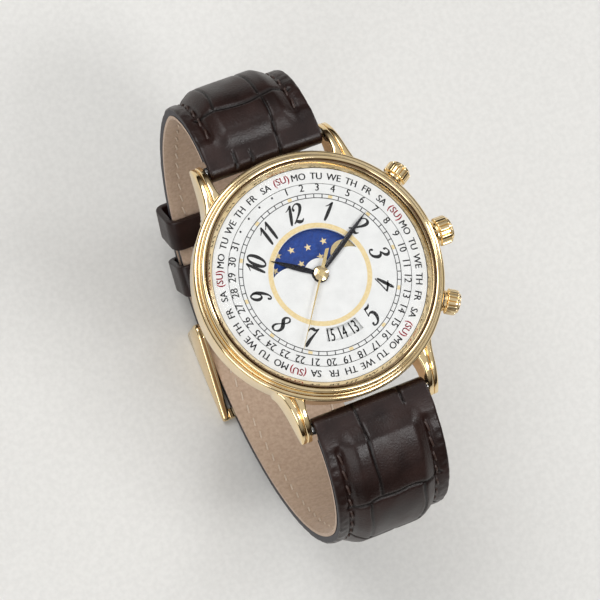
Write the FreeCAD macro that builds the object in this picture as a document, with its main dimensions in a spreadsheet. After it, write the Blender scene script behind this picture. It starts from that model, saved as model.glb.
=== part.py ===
import FreeCAD, Part
import math
import os

import Sketcher

# Moon phase watch on a closed, buckled strap. Millimetres.
# The origin is the centre of the case back's outer face: +Z comes out of the dial, +X points to 3 o'clock,
# where the main crown is, and +Y to 12 o'clock. The strap loop hangs below the case back.

V = FreeCAD.Vector
FULL_TURN = 360.0
RIGHT_ANGLE = 90.0
LEVEL = 1e-6

doc = FreeCAD.newDocument("MoonPhaseWatch")
sheet = doc.addObject("Spreadsheet::Sheet", "Sizes")
cells = []


class Size:
    """A length or angle that is known as a number and as the expression it comes from."""

    def __init__(self, value, text):
        self.value = float(value)
        self.text = text

    def __add__(self, other):
        return Size(self.value + number(other), f"({self.text} + {words(other)})")

    def __radd__(self, other):
        return self + other

    def __sub__(self, other):
        return Size(self.value - number(other), f"({self.text} - {words(other)})")

    def __rsub__(self, other):
        return Size(number(other) - self.value, f"({words(other)} - {self.text})")

    def __mul__(self, other):
        return Size(self.value * number(other), f"({self.text} * {words(other)})")

    def __rmul__(self, other):
        return self * other

    def __truediv__(self, other):
        return Size(self.value / number(other), f"({self.text} / {words(other)})")

    def __rtruediv__(self, other):
        return Size(number(other) / self.value, f"({words(other)} / {self.text})")

    def __neg__(self):
        return Size(-self.value, f"(0 - {self.text})")


def number(x):
    return x.value if isinstance(x, Size) else float(x)


def words(x):
    return x.text if isinstance(x, Size) else repr(float(x))


def root_of(x):
    return Size(math.sqrt(number(x)), f"sqrt({words(x)})")


def cosine(angle):
    return Size(math.cos(math.radians(number(angle))), f"cos({words(angle)})")


def sine(angle):
    return Size(math.sin(math.radians(number(angle))), f"sin({words(angle)})")


def size(alias, value):
    """Put one driving size into the sheet under its own name."""
    cells.append(alias)
    cell = f"A{len(cells)}"
    sheet.set(cell, str(value))
    sheet.setAlias(cell, alias)
    return Size(value, f"Sizes.{alias}")


# Case, bezel and crystal
case_radius = size("case_radius", 17.85)
cavity_radius = size("cavity_radius", 15.65)
case_foot_z = size("case_foot_z", 0.3)
case_foot_radius = size("case_foot_radius", 17.1)
back_radius = size("back_radius", 16.6)
back_face_radius = size("back_face_radius", 16.0)
back_thickness = size("back_thickness", 0.88)
back_lip = size("back_lip", 0.4)
band_top_z = size("band_top_z", 4.95)
bead_radius = size("bead_radius", 0.5)
case_groove = size("case_groove", 0.15)
bezel_seat_z = size("bezel_seat_z", 5.75)
bezel_bore = size("bezel_bore", 16.4)
bezel_skirt = size("bezel_skirt", 0.35)
bezel_radius = size("bezel_radius", 17.5)
bezel_bead_radius = size("bezel_bead_radius", 0.37)
bezel_thin_bead = size("bezel_thin_bead", 0.2)
bezel_rise = size("bezel_rise", 0.65)
crystal_radius = size("crystal_radius", 16.2)
crystal_seat_z = size("crystal_seat_z", 7.22)
crystal_edge = size("crystal_edge", 0.25)
crystal_rise = size("crystal_rise", 0.5)
rehaut_inner = size("rehaut_inner", 15.52)
rehaut_land = size("rehaut_land", 0.2)
gasket_section = size("gasket_section", 0.26)

# Lugs and spring bars
lug_inner_x = size("lug_inner_x", 9.1)
lug_ridge = size("lug_ridge", 1.05)
lug_groove = size("lug_groove", 0.35)
lug_flank = size("lug_flank", 0.85)
lug_step = size("lug_step", 0.45)
lug_groove_drop = size("lug_groove_drop", 0.75)
lug_top_z = size("lug_top_z", 5.4)
lug_bend = size("lug_bend", 5.6)
lug_bend_y = size("lug_bend_y", 15.9)
lug_nose = size("lug_nose", 0.7)
lug_foot_z = size("lug_foot_z", 0.75)
lug_root_y = size("lug_root_y", 12.3)
spring_bar_y = size("spring_bar_y", 19.8)
spring_bar_z = size("spring_bar_z", 2.7)
spring_bar_radius = size("spring_bar_radius", 0.75)
bar_tip_radius = size("bar_tip_radius", 0.38)
bar_tip_length = size("bar_tip_length", 0.8)

# Crowns and stems
crown_axis_z = size("crown_axis_z", 4.3)
crown_seat = size("crown_seat", 18.35)
main_crown_radius = size("main_crown_radius", 2.1)
main_crown_length = size("main_crown_length", 2.7)
side_crown_radius = size("side_crown_radius", 1.85)
side_crown_length = size("side_crown_length", 2.5)
side_crown_angle = size("side_crown_angle", 31.0)
crown_bore_depth = size("crown_bore_depth", 1.2)
flute_radius = size("flute_radius", 0.24)
tube_radius = size("tube_radius", 1.0)
tube_bore = size("tube_bore", 0.55)
tube_end = size("tube_end", 18.9)
stem_radius = size("stem_radius", 0.45)

# Dial, rings and calendar layer
dial_z = size("dial_z", 6.2)
dial_thickness = size("dial_thickness", 0.45)
dial_radius = size("dial_radius", 12.0)
date_scale_radius = size("date_scale_radius", 13.15)
weekday_radius = size("weekday_radius", 15.45)
weekday_flange = size("weekday_flange", 0.35)
ring_gap = size("ring_gap", 0.05)
moon_window_radius = size("moon_window_radius", 6.7)
moon_hump_radius = size("moon_hump_radius", 2.35)
moon_side_hump_radius = size("moon_side_hump_radius", 3.9)
window_tip_y = size("window_tip_y", 1.85)
hump_meet_x = size("hump_meet_x", 1.8)
date_window_inner = size("date_window_inner", 7.75)
date_window_outer = size("date_window_outer", 9.7)
date_window_angle = size("date_window_angle", 34.0)
moon_disc_radius = size("moon_disc_radius", 7.0)
moon_disc_z = size("moon_disc_z", 5.3)
disc_thickness = size("disc_thickness", 0.15)
date_ring_inner = size("date_ring_inner", 7.45)
date_ring_outer = size("date_ring_outer", 10.8)
calendar_plate_z = size("calendar_plate_z", 4.8)
calendar_plate_thickness = size("calendar_plate_thickness", 0.12)
boss_radius = size("boss_radius", 1.22)
wheel_gap = size("wheel_gap", 0.05)

# Movement
movement_radius = size("movement_radius", 13.05)
main_plate_z = size("main_plate_z", 3.45)
recess_z = size("recess_z", 4.1)
holder_foot_z = size("holder_foot_z", 1.3)
holder_floor_z = size("holder_floor_z", 3.0)
holder_wall = size("holder_wall", 0.35)
holder_inner_wall = size("holder_inner_wall", 0.6)
bridge_z = size("bridge_z", 1.35)
bridge_thickness = size("bridge_thickness", 0.4)
post_radius = size("post_radius", 0.8)
screw_radius = size("screw_radius", 0.6)
wheel_thickness = size("wheel_thickness", 0.15)
battery_radius = size("battery_radius", 3.4)
battery_thickness = size("battery_thickness", 2.05)
battery_x = size("battery_x", 8.4)
battery_y = size("battery_y", -1.0)
coil_radius = size("coil_radius", 0.74)
coil_length = size("coil_length", 5.4)

# Hands
hour_hand_length = size("hour_hand_length", 7.4)
minute_hand_length = size("minute_hand_length", 11.3)
second_hand_length = size("second_hand_length", 11.4)
hand_width = size("hand_width", 0.78)
hand_thickness = size("hand_thickness", 0.13)
hand_lift = size("hand_lift", 0.15)

# Strap, keepers and buckle
strap_width = size("strap_width", 17.6)
strap_buckle_width = size("strap_buckle_width", 16.0)
leather = size("leather", 1.5)
lining = size("lining", 0.7)
strap_end_radius = size("strap_end_radius", 1.6)
strap_bottom_z = size("strap_bottom_z", -41.5)
strap_bottom_y = size("strap_bottom_y", -2.0)
reach_twelve = size("reach_twelve", 32.6)
reach_six = size("reach_six", 35.2)
layer_gap = size("layer_gap", 0.2)
keeper_gap = size("keeper_gap", 0.3)
keeper_wall = size("keeper_wall", 1.0)
keeper_length = size("keeper_length", 5.0)
free_keeper_angle = size("free_keeper_angle", 40.0)
fixed_keeper_angle = size("fixed_keeper_angle", 26.0)
tail_angle = size("tail_angle", 48.0)
buckle_bar_y = size("buckle_bar_y", 4.5)
buckle_bar_radius = size("buckle_bar_radius", 0.8)
buckle_rail = size("buckle_rail", 1.3)
buckle_front_y = size("buckle_front_y", -9.4)
buckle_front_length = size("buckle_front_length", 1.7)
buckle_foot_z = size("buckle_foot_z", -44.95)
tongue_width = size("tongue_width", 1.4)
tongue_thickness = size("tongue_thickness", 0.85)

running_clearance = size("running_clearance", 0.05)
doc.recompute()

nodes = {}


def node(name, thing):
    """Give a finished sub-part the name that its file takes."""
    thing.Label = name
    nodes[name] = thing
    return thing


def bind(thing, prop, value):
    """Tie one property of an object to the sheet, or set it where it is a fixed number."""
    if isinstance(value, Size):
        thing.setExpression(prop, value.text)
    else:
        setattr(thing, prop, value)


def place(thing, x=0.0, y=0.0, z=0.0, axis=(0, 0, 1), angle=0.0):
    """Turn an object about its own origin, then put that origin at a point that the sheet can move."""
    spot = V(number(x), number(y), number(z))
    thing.Placement = FreeCAD.Placement(spot, FreeCAD.Rotation(V(*axis), number(angle)))
    for letter, value in (("x", x), ("y", y), ("z", z)):
        if isinstance(value, Size):
            thing.setExpression(f"Placement.Base.{letter}", value.text)
    return thing


def new_body():
    return doc.addObject("PartDesign::Body", "Body")


def new_sketch(body, role, lift=0.0):
    """A sketch on one of the body's own planes, lifted along that plane's normal."""
    sketch = body.newObject("Sketcher::SketchObject", "Sketch")
    planes = [f for f in body.Origin.OriginFeatures if f.Role == role]
    sketch.AttachmentSupport = [(planes[0], "")]
    sketch.MapMode = "FlatFace"
    sketch.AttachmentOffset = FreeCAD.Placement(V(0, 0, number(lift)), FreeCAD.Rotation())
    if isinstance(lift, Size):
        sketch.setExpression("AttachmentOffset.Base.z", lift.text)
    return sketch


def hold(sketch, kind, geometry, point, value):
    """Hold one point of a sketch at its distance from an axis."""
    if not isinstance(value, Size) and value == 0:
        line = -2 if kind == "DistanceX" else -1
        sketch.addConstraint(Sketcher.Constraint("PointOnObject", geometry, point, line))
        return
    made = sketch.addConstraint(Sketcher.Constraint(kind, -1, 1, geometry, point, number(value)))
    if isinstance(value, Size):
        name = f"{kind}{geometry}_{point}"
        sketch.renameConstraint(made, name)
        sketch.setExpression(f"Constraints.{name}", value.text)


def outline(sketch, corners):
    """Draw a closed outline through its corners.

    A corner is (x, y) before a straight run, or (x, y, centre x, centre y, radius, turn) before an arc, which
    runs anticlockwise where turn is 1 and clockwise where it is -1. An arc whose ends lie upright or level with
    each other may be a half round, which its centre holds better than its radius.
    """
    first = sketch.GeometryCount
    ends = []
    for n, corner in enumerate(corners):
        after = corners[(n + 1) % len(corners)]
        start = V(number(corner[0]), number(corner[1]), 0)
        stop = V(number(after[0]), number(after[1]), 0)
        if len(corner) == 2:
            sketch.addGeometry(Part.LineSegment(start, stop), False)
            ends.append((1, 2))
            continue
        centre = V(number(corner[2]), number(corner[3]), 0)
        turn = corner[5]
        circle = Part.Circle(centre, V(0, 0, 1), number(corner[4]))
        low, high = (start, stop) if turn > 0 else (stop, start)
        low_angle = math.atan2(low.y - centre.y, low.x - centre.x)
        high_angle = math.atan2(high.y - centre.y, high.x - centre.x)
        if high_angle <= low_angle:
            high_angle += 2 * math.pi
        sketch.addGeometry(Part.ArcOfCircle(circle, low_angle, high_angle), False)
        ends.append((1, 2) if turn > 0 else (2, 1))
    count = len(corners)
    for n in range(count):
        following = (n + 1) % count
        sketch.addConstraint(
            Sketcher.Constraint("Coincident", first + n, ends[n][1], first + following, ends[following][0])
        )
    for n, corner in enumerate(corners):
        hold(sketch, "DistanceX", first + n, ends[n][0], corner[0])
        hold(sketch, "DistanceY", first + n, ends[n][0], corner[1])
        if len(corner) == 2:
            continue
        after = corners[(n + 1) % count]
        if abs(number(after[0]) - number(corner[0])) < LEVEL:
            hold(sketch, "DistanceX", first + n, 3, corner[2])
        elif abs(number(after[1]) - number(corner[1])) < LEVEL:
            hold(sketch, "DistanceY", first + n, 3, corner[3])
        else:
            made = sketch.addConstraint(Sketcher.Constraint("Radius", first + n, number(corner[4])))
            if isinstance(corner[4], Size):
                sketch.renameConstraint(made, f"radius{first + n}")
                sketch.setExpression(f"Constraints.radius{first + n}", corner[4].text)


def round_outline(sketch, x, y, radius):
    """Draw a full circle held by its centre and radius."""
    made = sketch.addGeometry(Part.Circle(V(number(x), number(y), 0), V(0, 0, 1), number(radius)), False)
    hold(sketch, "DistanceX", made, 3, x)
    hold(sketch, "DistanceY", made, 3, y)
    constraint = sketch.addConstraint(Sketcher.Constraint("Radius", made, number(radius)))
    if isinstance(radius, Size):
        sketch.renameConstraint(constraint, f"radius{made}")
        sketch.setExpression(f"Constraints.radius{made}", radius.text)


def turn_up(body, corners):
    """Revolve an outline of (radius, height) corners about the body's Z axis."""
    sketch = new_sketch(body, "XZ_Plane")
    outline(sketch, corners)
    turned = body.newObject("PartDesign::Revolution", "Revolution")
    turned.Profile = sketch
    turned.ReferenceAxis = (sketch, ["V_Axis"])
    turned.Angle = FULL_TURN
    return turned


def thicken(body, sketch, length, both_ways=False, kind="PartDesign::Pad"):
    """Pad or pocket a sketch, forward from its plane or half to each side of it."""
    made = body.newObject(kind, "Feature")
    made.Profile = sketch
    made.Length = number(length)
    bind(made, "Length", length)
    if both_ways:
        made.SideType = "Symmetric"
    return made


def turned(name, corners):
    body = new_body()
    turn_up(body, corners)
    return node(name, body) if name else body


def plate(name, outlines, low, thickness):
    """A flat piece: closed outlines and circles (x, y, radius) on the XY plane, from the height low upwards."""
    body = new_body()
    sketch = new_sketch(body, "XY_Plane")
    for item in outlines:
        if isinstance(item, tuple):
            round_outline(sketch, *item)
        else:
            outline(sketch, item)
    thicken(body, sketch, thickness)
    place(body, z=low)
    return node(name, body) if name else body


def block(low, high):
    """A plain box between two corners."""
    box = doc.addObject("Part::Box", "Box")
    for prop, a, b in zip(("Length", "Width", "Height"), low, high):
        bind(box, prop, b - a if isinstance(b, Size) or isinstance(a, Size) else float(b) - float(a))
    return place(box, *low)


def rod(radius, length, x=0.0, y=0.0, z=0.0, axis=(0, 0, 1), angle=0.0):
    """A round rod that starts at a point and runs along Z, or along Z as turned about an axis."""
    made = doc.addObject("Part::Cylinder", "Rod")
    bind(made, "Radius", radius)
    bind(made, "Height", length)
    return place(made, x, y, z, axis, angle)


def joined(name, pieces):
    made = doc.addObject("Part::MultiFuse", "Fuse")
    made.Shapes = pieces
    return node(name, made) if name else made


def cut(name, base, tools):
    made = doc.addObject("Part::Cut", "Cut")
    made.Base = base
    made.Tool = tools[0] if len(tools) == 1 else joined(None, tools)
    return node(name, made) if name else made


def shaped(name, shape, x=0.0, y=0.0, z=0.0, axis=(0, 0, 1), angle=0.0):
    """A toothed or otherwise freely formed piece from its finished shape."""
    made = doc.addObject("Part::Feature", "Shape")
    made.Shape = shape
    place(made, x, y, z, axis, angle)
    return node(name, made)


# Toothed wheels. A tooth is a straight-sided wedge, thin enough to leave about a quarter of the pitch as play,
# which the coarse teeth of a quartz train can spare.
TOOTH_ROOT = 0.27
TOOTH_MIDDLE = 0.17
TOOTH_TIP = 0.07
ADDENDUM = 0.85
DEDENDUM = 1.25


def tooth_points(teeth, pitch_radius, phase, inward=False):
    """Corners of a toothed rim with one tooth centred at the angle phase, in degrees."""
    module = 2.0 * pitch_radius / teeth
    side = -1.0 if inward else 1.0
    tip = pitch_radius + side * ADDENDUM * module
    low = pitch_radius - side * DEDENDUM * module
    pitch_angle = 2.0 * math.pi / teeth
    points = []
    for n in range(teeth):
        middle = math.radians(phase) + n * pitch_angle
        steps = (
            (low, -TOOTH_ROOT),
            (pitch_radius, -TOOTH_MIDDLE),
            (tip, -TOOTH_TIP),
            (tip, TOOTH_TIP),
            (pitch_radius, TOOTH_MIDDLE),
            (low, TOOTH_ROOT),
        )
        for radius, share in steps:
            angle = middle + share * pitch_angle
            points.append(V(radius * math.cos(angle), radius * math.sin(angle), 0))
    return points


def prism(points, low, high):
    """A straight prism on a closed polygon of points, between two heights."""
    face = Part.Face(Part.makePolygon(points + [points[0]]))
    solid = face.extrude(V(0, 0, high - low))
    solid.translate(V(0, 0, low))
    return solid


def wheel(teeth, pitch_radius, phase, low, high, bore=0.0):
    """A spur wheel or pinion between two heights, with a round bore if it has one."""
    solid = prism(tooth_points(teeth, pitch_radius, phase), low, high)
    if bore > 0:
        solid = solid.cut(Part.makeCylinder(bore, high - low, V(0, 0, low)))
    return solid


def pillar(radius, low, high, bore=0.0):
    """A round pillar or pipe between two heights."""
    solid = Part.makeCylinder(radius, high - low, V(0, 0, low))
    if bore > 0:
        solid = solid.cut(Part.makeCylinder(bore, high - low, V(0, 0, low)))
    return solid


def meshed_phase(driver, driver_phase, driver_pitch, follower, follower_pitch, bearing):
    """Angle of one follower tooth that puts a gap opposite each driver tooth.

    The follower's centre lies at the angle bearing from the driver's centre.
    """
    step = 2.0 * math.pi * driver_pitch / driver
    offset = math.radians(driver_phase - bearing) * driver_pitch
    return bearing + math.degrees(math.pi - (offset + step / 2.0) / follower_pitch)


def face_teeth(teeth, middle_radius, inner, outer, root_z, tip_z, phase):
    """Crown teeth that hang from a ring: wedges with straight radial sides, a gap centred at the angle phase."""
    pitch = 2.0 * math.pi / teeth
    wedge = []
    for n in range(teeth):
        centre = math.radians(phase) + (n + 0.5) * pitch
        rims = []
        for radius in (inner, outer):
            wide = TOOTH_ROOT * pitch * middle_radius / radius
            thin = TOOTH_TIP * pitch * middle_radius / radius
            corners = []
            for angle, z in ((-wide, root_z), (wide, root_z), (thin, tip_z), (-thin, tip_z)):
                turn = centre + angle
                corners.append(V(radius * math.cos(turn), radius * math.sin(turn), z))
            rims.append(Part.makePolygon(corners + [corners[0]]))
        wedge.append(Part.makeLoft(rims, True, True))
    return wedge


def fuse_all(solids):
    return solids[0].multiFuse(solids[1:]).removeSplitter()


# Case middle: a turned ring with a rolled bead under the bezel, four lugs of three ridges each, bored for the
# three crown tubes and for the tips of the spring bars.
back_recess = back_radius + running_clearance
groove_radius = case_radius - case_groove
bead_low_z = band_top_z + case_groove
bead_centre_z = bead_low_z + bead_radius
case_top_z = bead_centre_z + bead_radius
bead_centre_r = groove_radius - running_clearance
bezel_recess = bezel_bore + bezel_skirt + running_clearance
gasket_outer = cavity_radius + gasket_section + 4 * running_clearance

case_body = new_body()
turn_up(
    case_body,
    [
        (cavity_radius, back_thickness + gasket_section + 2 * running_clearance),
        (gasket_outer, back_thickness + gasket_section + 2 * running_clearance),
        (gasket_outer, back_thickness),
        (back_recess, back_thickness),
        (back_recess, case_foot_z),
        (case_foot_radius, case_foot_z),
        (case_radius, case_foot_z + (case_radius - case_foot_radius)),
        (case_radius, band_top_z),
        (groove_radius, bead_low_z),
        (
            bead_centre_r,
            bead_low_z,
            bead_centre_r,
            bead_centre_z,
            bead_radius,
            1,
        ),
        (bead_centre_r, case_top_z),
        (bezel_recess, case_top_z),
        (bezel_recess, bezel_seat_z),
        (cavity_radius, bezel_seat_z),
    ],
)


def lug_side(drop, way):
    """Side view of one ridge of a lug: a long bend down to a round nose, its top lowered by drop."""
    bend = lug_bend - drop
    centre_z = lug_top_z - lug_bend
    nose_angle = 20.0
    foot_angle = 250.0
    nose_y = lug_bend_y + (lug_bend - lug_nose) * cosine(nose_angle)
    nose_z = centre_z + (lug_bend - lug_nose) * sine(nose_angle)
    nose = lug_nose - drop / 2
    shift = drop / 2
    points = [
        (lug_root_y, centre_z + bend),
        (lug_bend_y, centre_z + bend, lug_bend_y, centre_z, bend, -1),
        (
            lug_bend_y + bend * cosine(nose_angle),
            centre_z + bend * sine(nose_angle),
            nose_y - shift * cosine(nose_angle),
            nose_z - shift * sine(nose_angle),
            nose,
            -1,
        ),
        (
            nose_y - shift * cosine(nose_angle) + nose * cosine(foot_angle),
            nose_z - shift * sine(nose_angle) + nose * sine(foot_angle),
        ),
        (lug_bend_y, lug_foot_z),
        (lug_root_y, lug_foot_z),
    ]
    if way > 0:
        return points
    mirrored = []
    for point in points:
        if len(point) == 2:
            mirrored.append((-point[0], point[1]))
        else:
            mirrored.append((-point[0], point[1], -point[2], point[3], point[4], -point[5]))
    return mirrored


ridge_edges = (
    (lug_inner_x, lug_ridge, 0.0),
    (lug_inner_x + lug_ridge, lug_groove, lug_groove_drop),
    (lug_inner_x + lug_ridge + lug_groove, lug_flank, lug_step),
)
for inner_x, ridge_width, drop in ridge_edges:
    for side in (1, -1):
        lift = inner_x if side > 0 else -(inner_x + ridge_width)
        ridge_sketch = new_sketch(case_body, "YZ_Plane", lift)
        for way in (1, -1):
            outline(ridge_sketch, lug_side(Size(number(drop), words(drop)), way))
        thicken(case_body, ridge_sketch, ridge_width)

bar_hole_sketch = new_sketch(case_body, "YZ_Plane")
for way in (1, -1):
    round_outline(bar_hole_sketch, way * spring_bar_y, spring_bar_z, bar_tip_radius + running_clearance)
bar_hole_reach = lug_inner_x + bar_tip_length + 2 * running_clearance
thicken(case_body, bar_hole_sketch, 2 * bar_hole_reach, True, "PartDesign::Pocket")

crown_angles = (("main", 0.0), ("weekday", side_crown_angle), ("moon", -side_crown_angle))


def radial_rod(radius, start, stop, angle):
    """A rod on a crown's axis, between two distances from the watch's centre."""
    made = rod(radius, stop - start)
    turn = FreeCAD.Rotation(V(0, 0, 1), number(angle)) * FreeCAD.Rotation(V(0, 1, 0), RIGHT_ANGLE)
    spot = FreeCAD.Rotation(V(0, 0, 1), number(angle)).multVec(V(number(start), 0, 0))
    made.Placement = FreeCAD.Placement(spot + V(0, 0, number(crown_axis_z)), turn)
    made.setExpression("Placement.Base.x", (start * cosine(angle)).text)
    made.setExpression("Placement.Base.y", (start * sine(angle)).text)
    made.setExpression("Placement.Base.z", crown_axis_z.text)
    return made


far_out = case_radius + 4.0
inside = cavity_radius - 1.0
cavity_core = rod(cavity_radius, case_top_z, z=0.0)
tube_holes = [radial_rod(tube_radius + 0.4 * running_clearance, inside, far_out, a) for n, a in crown_angles]
recess_core = rod(back_recess, back_thickness)
gasket_core = rod(gasket_outer, back_thickness + gasket_section + 2 * running_clearance)
cut("case_middle", case_body, [cavity_core, recess_core, gasket_core] + tube_holes)

tubes = []
for _, angle in crown_angles:
    tube = radial_rod(tube_radius, cavity_radius + running_clearance, tube_end, angle)
    bore = radial_rod(tube_bore, cavity_radius - running_clearance, tube_end + running_clearance, angle)
    tubes.append(cut(None, tube, [bore]))
joined("crown_tubes", tubes)

# Case back: a snap-on disc with a chamfered rim and a lip that springs into the case.
back_rim = back_radius - back_face_radius
turned(
    "case_back",
    [
        (0.0, 0.0),
        (back_face_radius, 0.0),
        (back_radius, back_rim * 0.5),
        (back_radius, back_thickness - 0.4 * running_clearance),
        (cavity_radius - running_clearance, back_thickness - 0.4 * running_clearance),
        (cavity_radius - running_clearance, holder_foot_z - running_clearance),
        (cavity_radius - running_clearance - back_lip, holder_foot_z - running_clearance),
        (cavity_radius - running_clearance - back_lip, back_thickness),
        (0.0, back_thickness),
    ],
)

turned(
    "case_back_gasket",
    [
        (cavity_radius + running_clearance, back_thickness + running_clearance),
        (gasket_outer - running_clearance, back_thickness + running_clearance),
        (gasket_outer - running_clearance, back_thickness + gasket_section),
        (cavity_radius + running_clearance, back_thickness + gasket_section),
    ],
)

# Bezel: a turned ring with a thin outer bead and a larger inner bead, pressed into the case by its skirt.
thin_bead_r = bezel_radius - bezel_thin_bead
thin_bead_z = case_top_z + running_clearance + bezel_thin_bead
big_bead_r = bezel_bore + bezel_bead_radius + running_clearance
bezel_groove_z = thin_bead_z + 0.1
big_bead_z = bezel_groove_z + bezel_rise
turned(
    "bezel",
    [
        (bezel_bore, bezel_seat_z + running_clearance),
        (bezel_bore + bezel_skirt, bezel_seat_z + running_clearance),
        (bezel_bore + bezel_skirt, case_top_z + running_clearance),
        (
            thin_bead_r,
            case_top_z + running_clearance,
            thin_bead_r,
            thin_bead_z,
            bezel_thin_bead,
            1,
        ),
        (thin_bead_r, thin_bead_z + bezel_thin_bead),
        (big_bead_r + bezel_bead_radius, bezel_groove_z),
        (
            big_bead_r + bezel_bead_radius,
            big_bead_z,
            big_bead_r,
            big_bead_z,
            bezel_bead_radius,
            1,
        ),
        (big_bead_r - bezel_bead_radius, big_bead_z),
        (bezel_bore, big_bead_z),
    ],
)

# Sloping inner ring between the dial and the crystal.
rehaut_outer = bezel_bore - running_clearance
rehaut_foot = cavity_radius + running_clearance
turned(
    "rehaut_ring",
    [
        (rehaut_foot, bezel_seat_z + 0.4 * running_clearance),
        (rehaut_outer, bezel_seat_z + 0.4 * running_clearance),
        (rehaut_outer, crystal_seat_z - 0.4 * running_clearance),
        (rehaut_outer - rehaut_land, crystal_seat_z - 0.4 * running_clearance),
        (rehaut_inner, dial_z + 2 * running_clearance),
        (rehaut_inner, dial_z + running_clearance),
        (rehaut_foot, dial_z + running_clearance),
    ],
)

# Crystal: a lens with a flat underside and a low dome, in a thin plastic gasket.
crystal_top = crystal_seat_z + crystal_edge + crystal_rise
dome_radius = (crystal_radius * crystal_radius + crystal_rise * crystal_rise) / (2 * crystal_rise)
turned(
    "crystal",
    [
        (0.0, crystal_seat_z),
        (crystal_radius, crystal_seat_z),
        (
            crystal_radius,
            crystal_seat_z + crystal_edge,
            0.0,
            crystal_top - dome_radius,
            dome_radius,
            1,
        ),
        (0.0, crystal_top),
    ],
)
turned(
    "crystal_gasket",
    [
        (crystal_radius + 0.4 * running_clearance, crystal_seat_z),
        (bezel_bore - 0.4 * running_clearance, crystal_seat_z),
        (bezel_bore - 0.4 * running_clearance, crystal_seat_z + crystal_edge * 0.6),
        (crystal_radius + 0.4 * running_clearance, crystal_seat_z + crystal_edge * 0.6),
    ],
)

# Dial: a plate with the moon window above its centre, the three-date window at 6 o'clock and a centre hole.
dial_low = dial_z - dial_thickness


hump_meet_y = root_of(moon_hump_radius * moon_hump_radius - hump_meet_x * hump_meet_x)
window_tip_x = root_of(moon_window_radius * moon_window_radius - window_tip_y * window_tip_y)

# Each side hump is an arc from the window's tip to the centre hump: its centre lies below their middle point.
half_run_x = (window_tip_x - hump_meet_x) / 2
half_run_y = (window_tip_y - hump_meet_y) / 2
half_run = root_of(half_run_x * half_run_x + half_run_y * half_run_y)
hump_depth = root_of(moon_side_hump_radius * moon_side_hump_radius - half_run * half_run)
hump_x = hump_meet_x + half_run_x + hump_depth * half_run_y / half_run
hump_y = hump_meet_y + half_run_y - hump_depth * half_run_x / half_run
moon_window = [
    (window_tip_x, window_tip_y, 0.0, 0.0, moon_window_radius, 1),
    (-window_tip_x, window_tip_y, -hump_x, hump_y, moon_side_hump_radius, -1),
    (-hump_meet_x, hump_meet_y, 0.0, 0.0, moon_hump_radius, -1),
    (hump_meet_x, hump_meet_y, hump_x, hump_y, moon_side_hump_radius, -1),
]
half_window = date_window_angle / 2
date_window = [
    (date_window_outer * sine(half_window), -(date_window_outer * cosine(half_window)),
     0.0, 0.0, date_window_outer, -1),
    (-(date_window_outer * sine(half_window)), -(date_window_outer * cosine(half_window))),
    (-(date_window_inner * sine(half_window)), -(date_window_inner * cosine(half_window)),
     0.0, 0.0, date_window_inner, 1),
    (date_window_inner * sine(half_window), -(date_window_inner * cosine(half_window))),
]
plate(
    "dial",
    [
        (0.0, 0.0, dial_radius),
        (0.0, 0.0, boss_radius),
        moon_window,
        date_window,
    ],
    dial_low,
    dial_thickness,
)
plate(
    "date_scale_ring",
    [(0.0, 0.0, date_scale_radius), (0.0, 0.0, dial_radius + ring_gap)],
    dial_low,
    dial_thickness,
)

# Weekday ring: a printed flange that turns on the movement holder, with crown teeth below it for its pinion.
weekday_teeth = 105
weekday_pinion_teeth = 7
weekday_tooth_radius = 14.55
weekday_pinion_radius = weekday_tooth_radius * weekday_pinion_teeth / weekday_teeth
weekday_pitch_z = crown_axis_z.value + weekday_pinion_radius
weekday_tooth_half = 0.5
face_addendum = 0.2
face_dedendum = 0.3
flange_z = dial_z.value - weekday_flange.value
ring_inner = date_scale_radius.value + 2 * ring_gap.value
ring_body = pillar(weekday_radius.value, flange_z, dial_z.value, ring_inner)
neck_low = weekday_pitch_z + face_dedendum
neck = pillar(weekday_tooth_radius + 0.6, neck_low, flange_z, weekday_tooth_radius - 0.6)
ring_teeth = face_teeth(
    weekday_teeth,
    weekday_tooth_radius,
    weekday_tooth_radius - weekday_tooth_half,
    weekday_tooth_radius + weekday_tooth_half,
    neck_low,
    weekday_pitch_z - face_addendum,
    side_crown_angle.value,
)
shaped("weekday_ring", fuse_all([ring_body, neck] + ring_teeth))

# Calendar plate: carries the moon disc on its centre boss and the date ring on its floor, under the dial.
calendar_floor = calendar_plate_z + calendar_plate_thickness
rim_top = dial_low - 0.6 * running_clearance
plate_rim_r = date_ring_outer + 2 * running_clearance
boss_bore = 0.97
calendar_turned = turned(
    None,
    [
        (boss_bore, calendar_plate_z),
        (movement_radius, calendar_plate_z),
        (movement_radius, rim_top),
        (plate_rim_r, rim_top),
        (plate_rim_r, calendar_floor),
        (boss_radius, calendar_floor),
        (boss_radius, rim_top),
        (boss_bore, rim_top),
    ],
)

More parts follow.
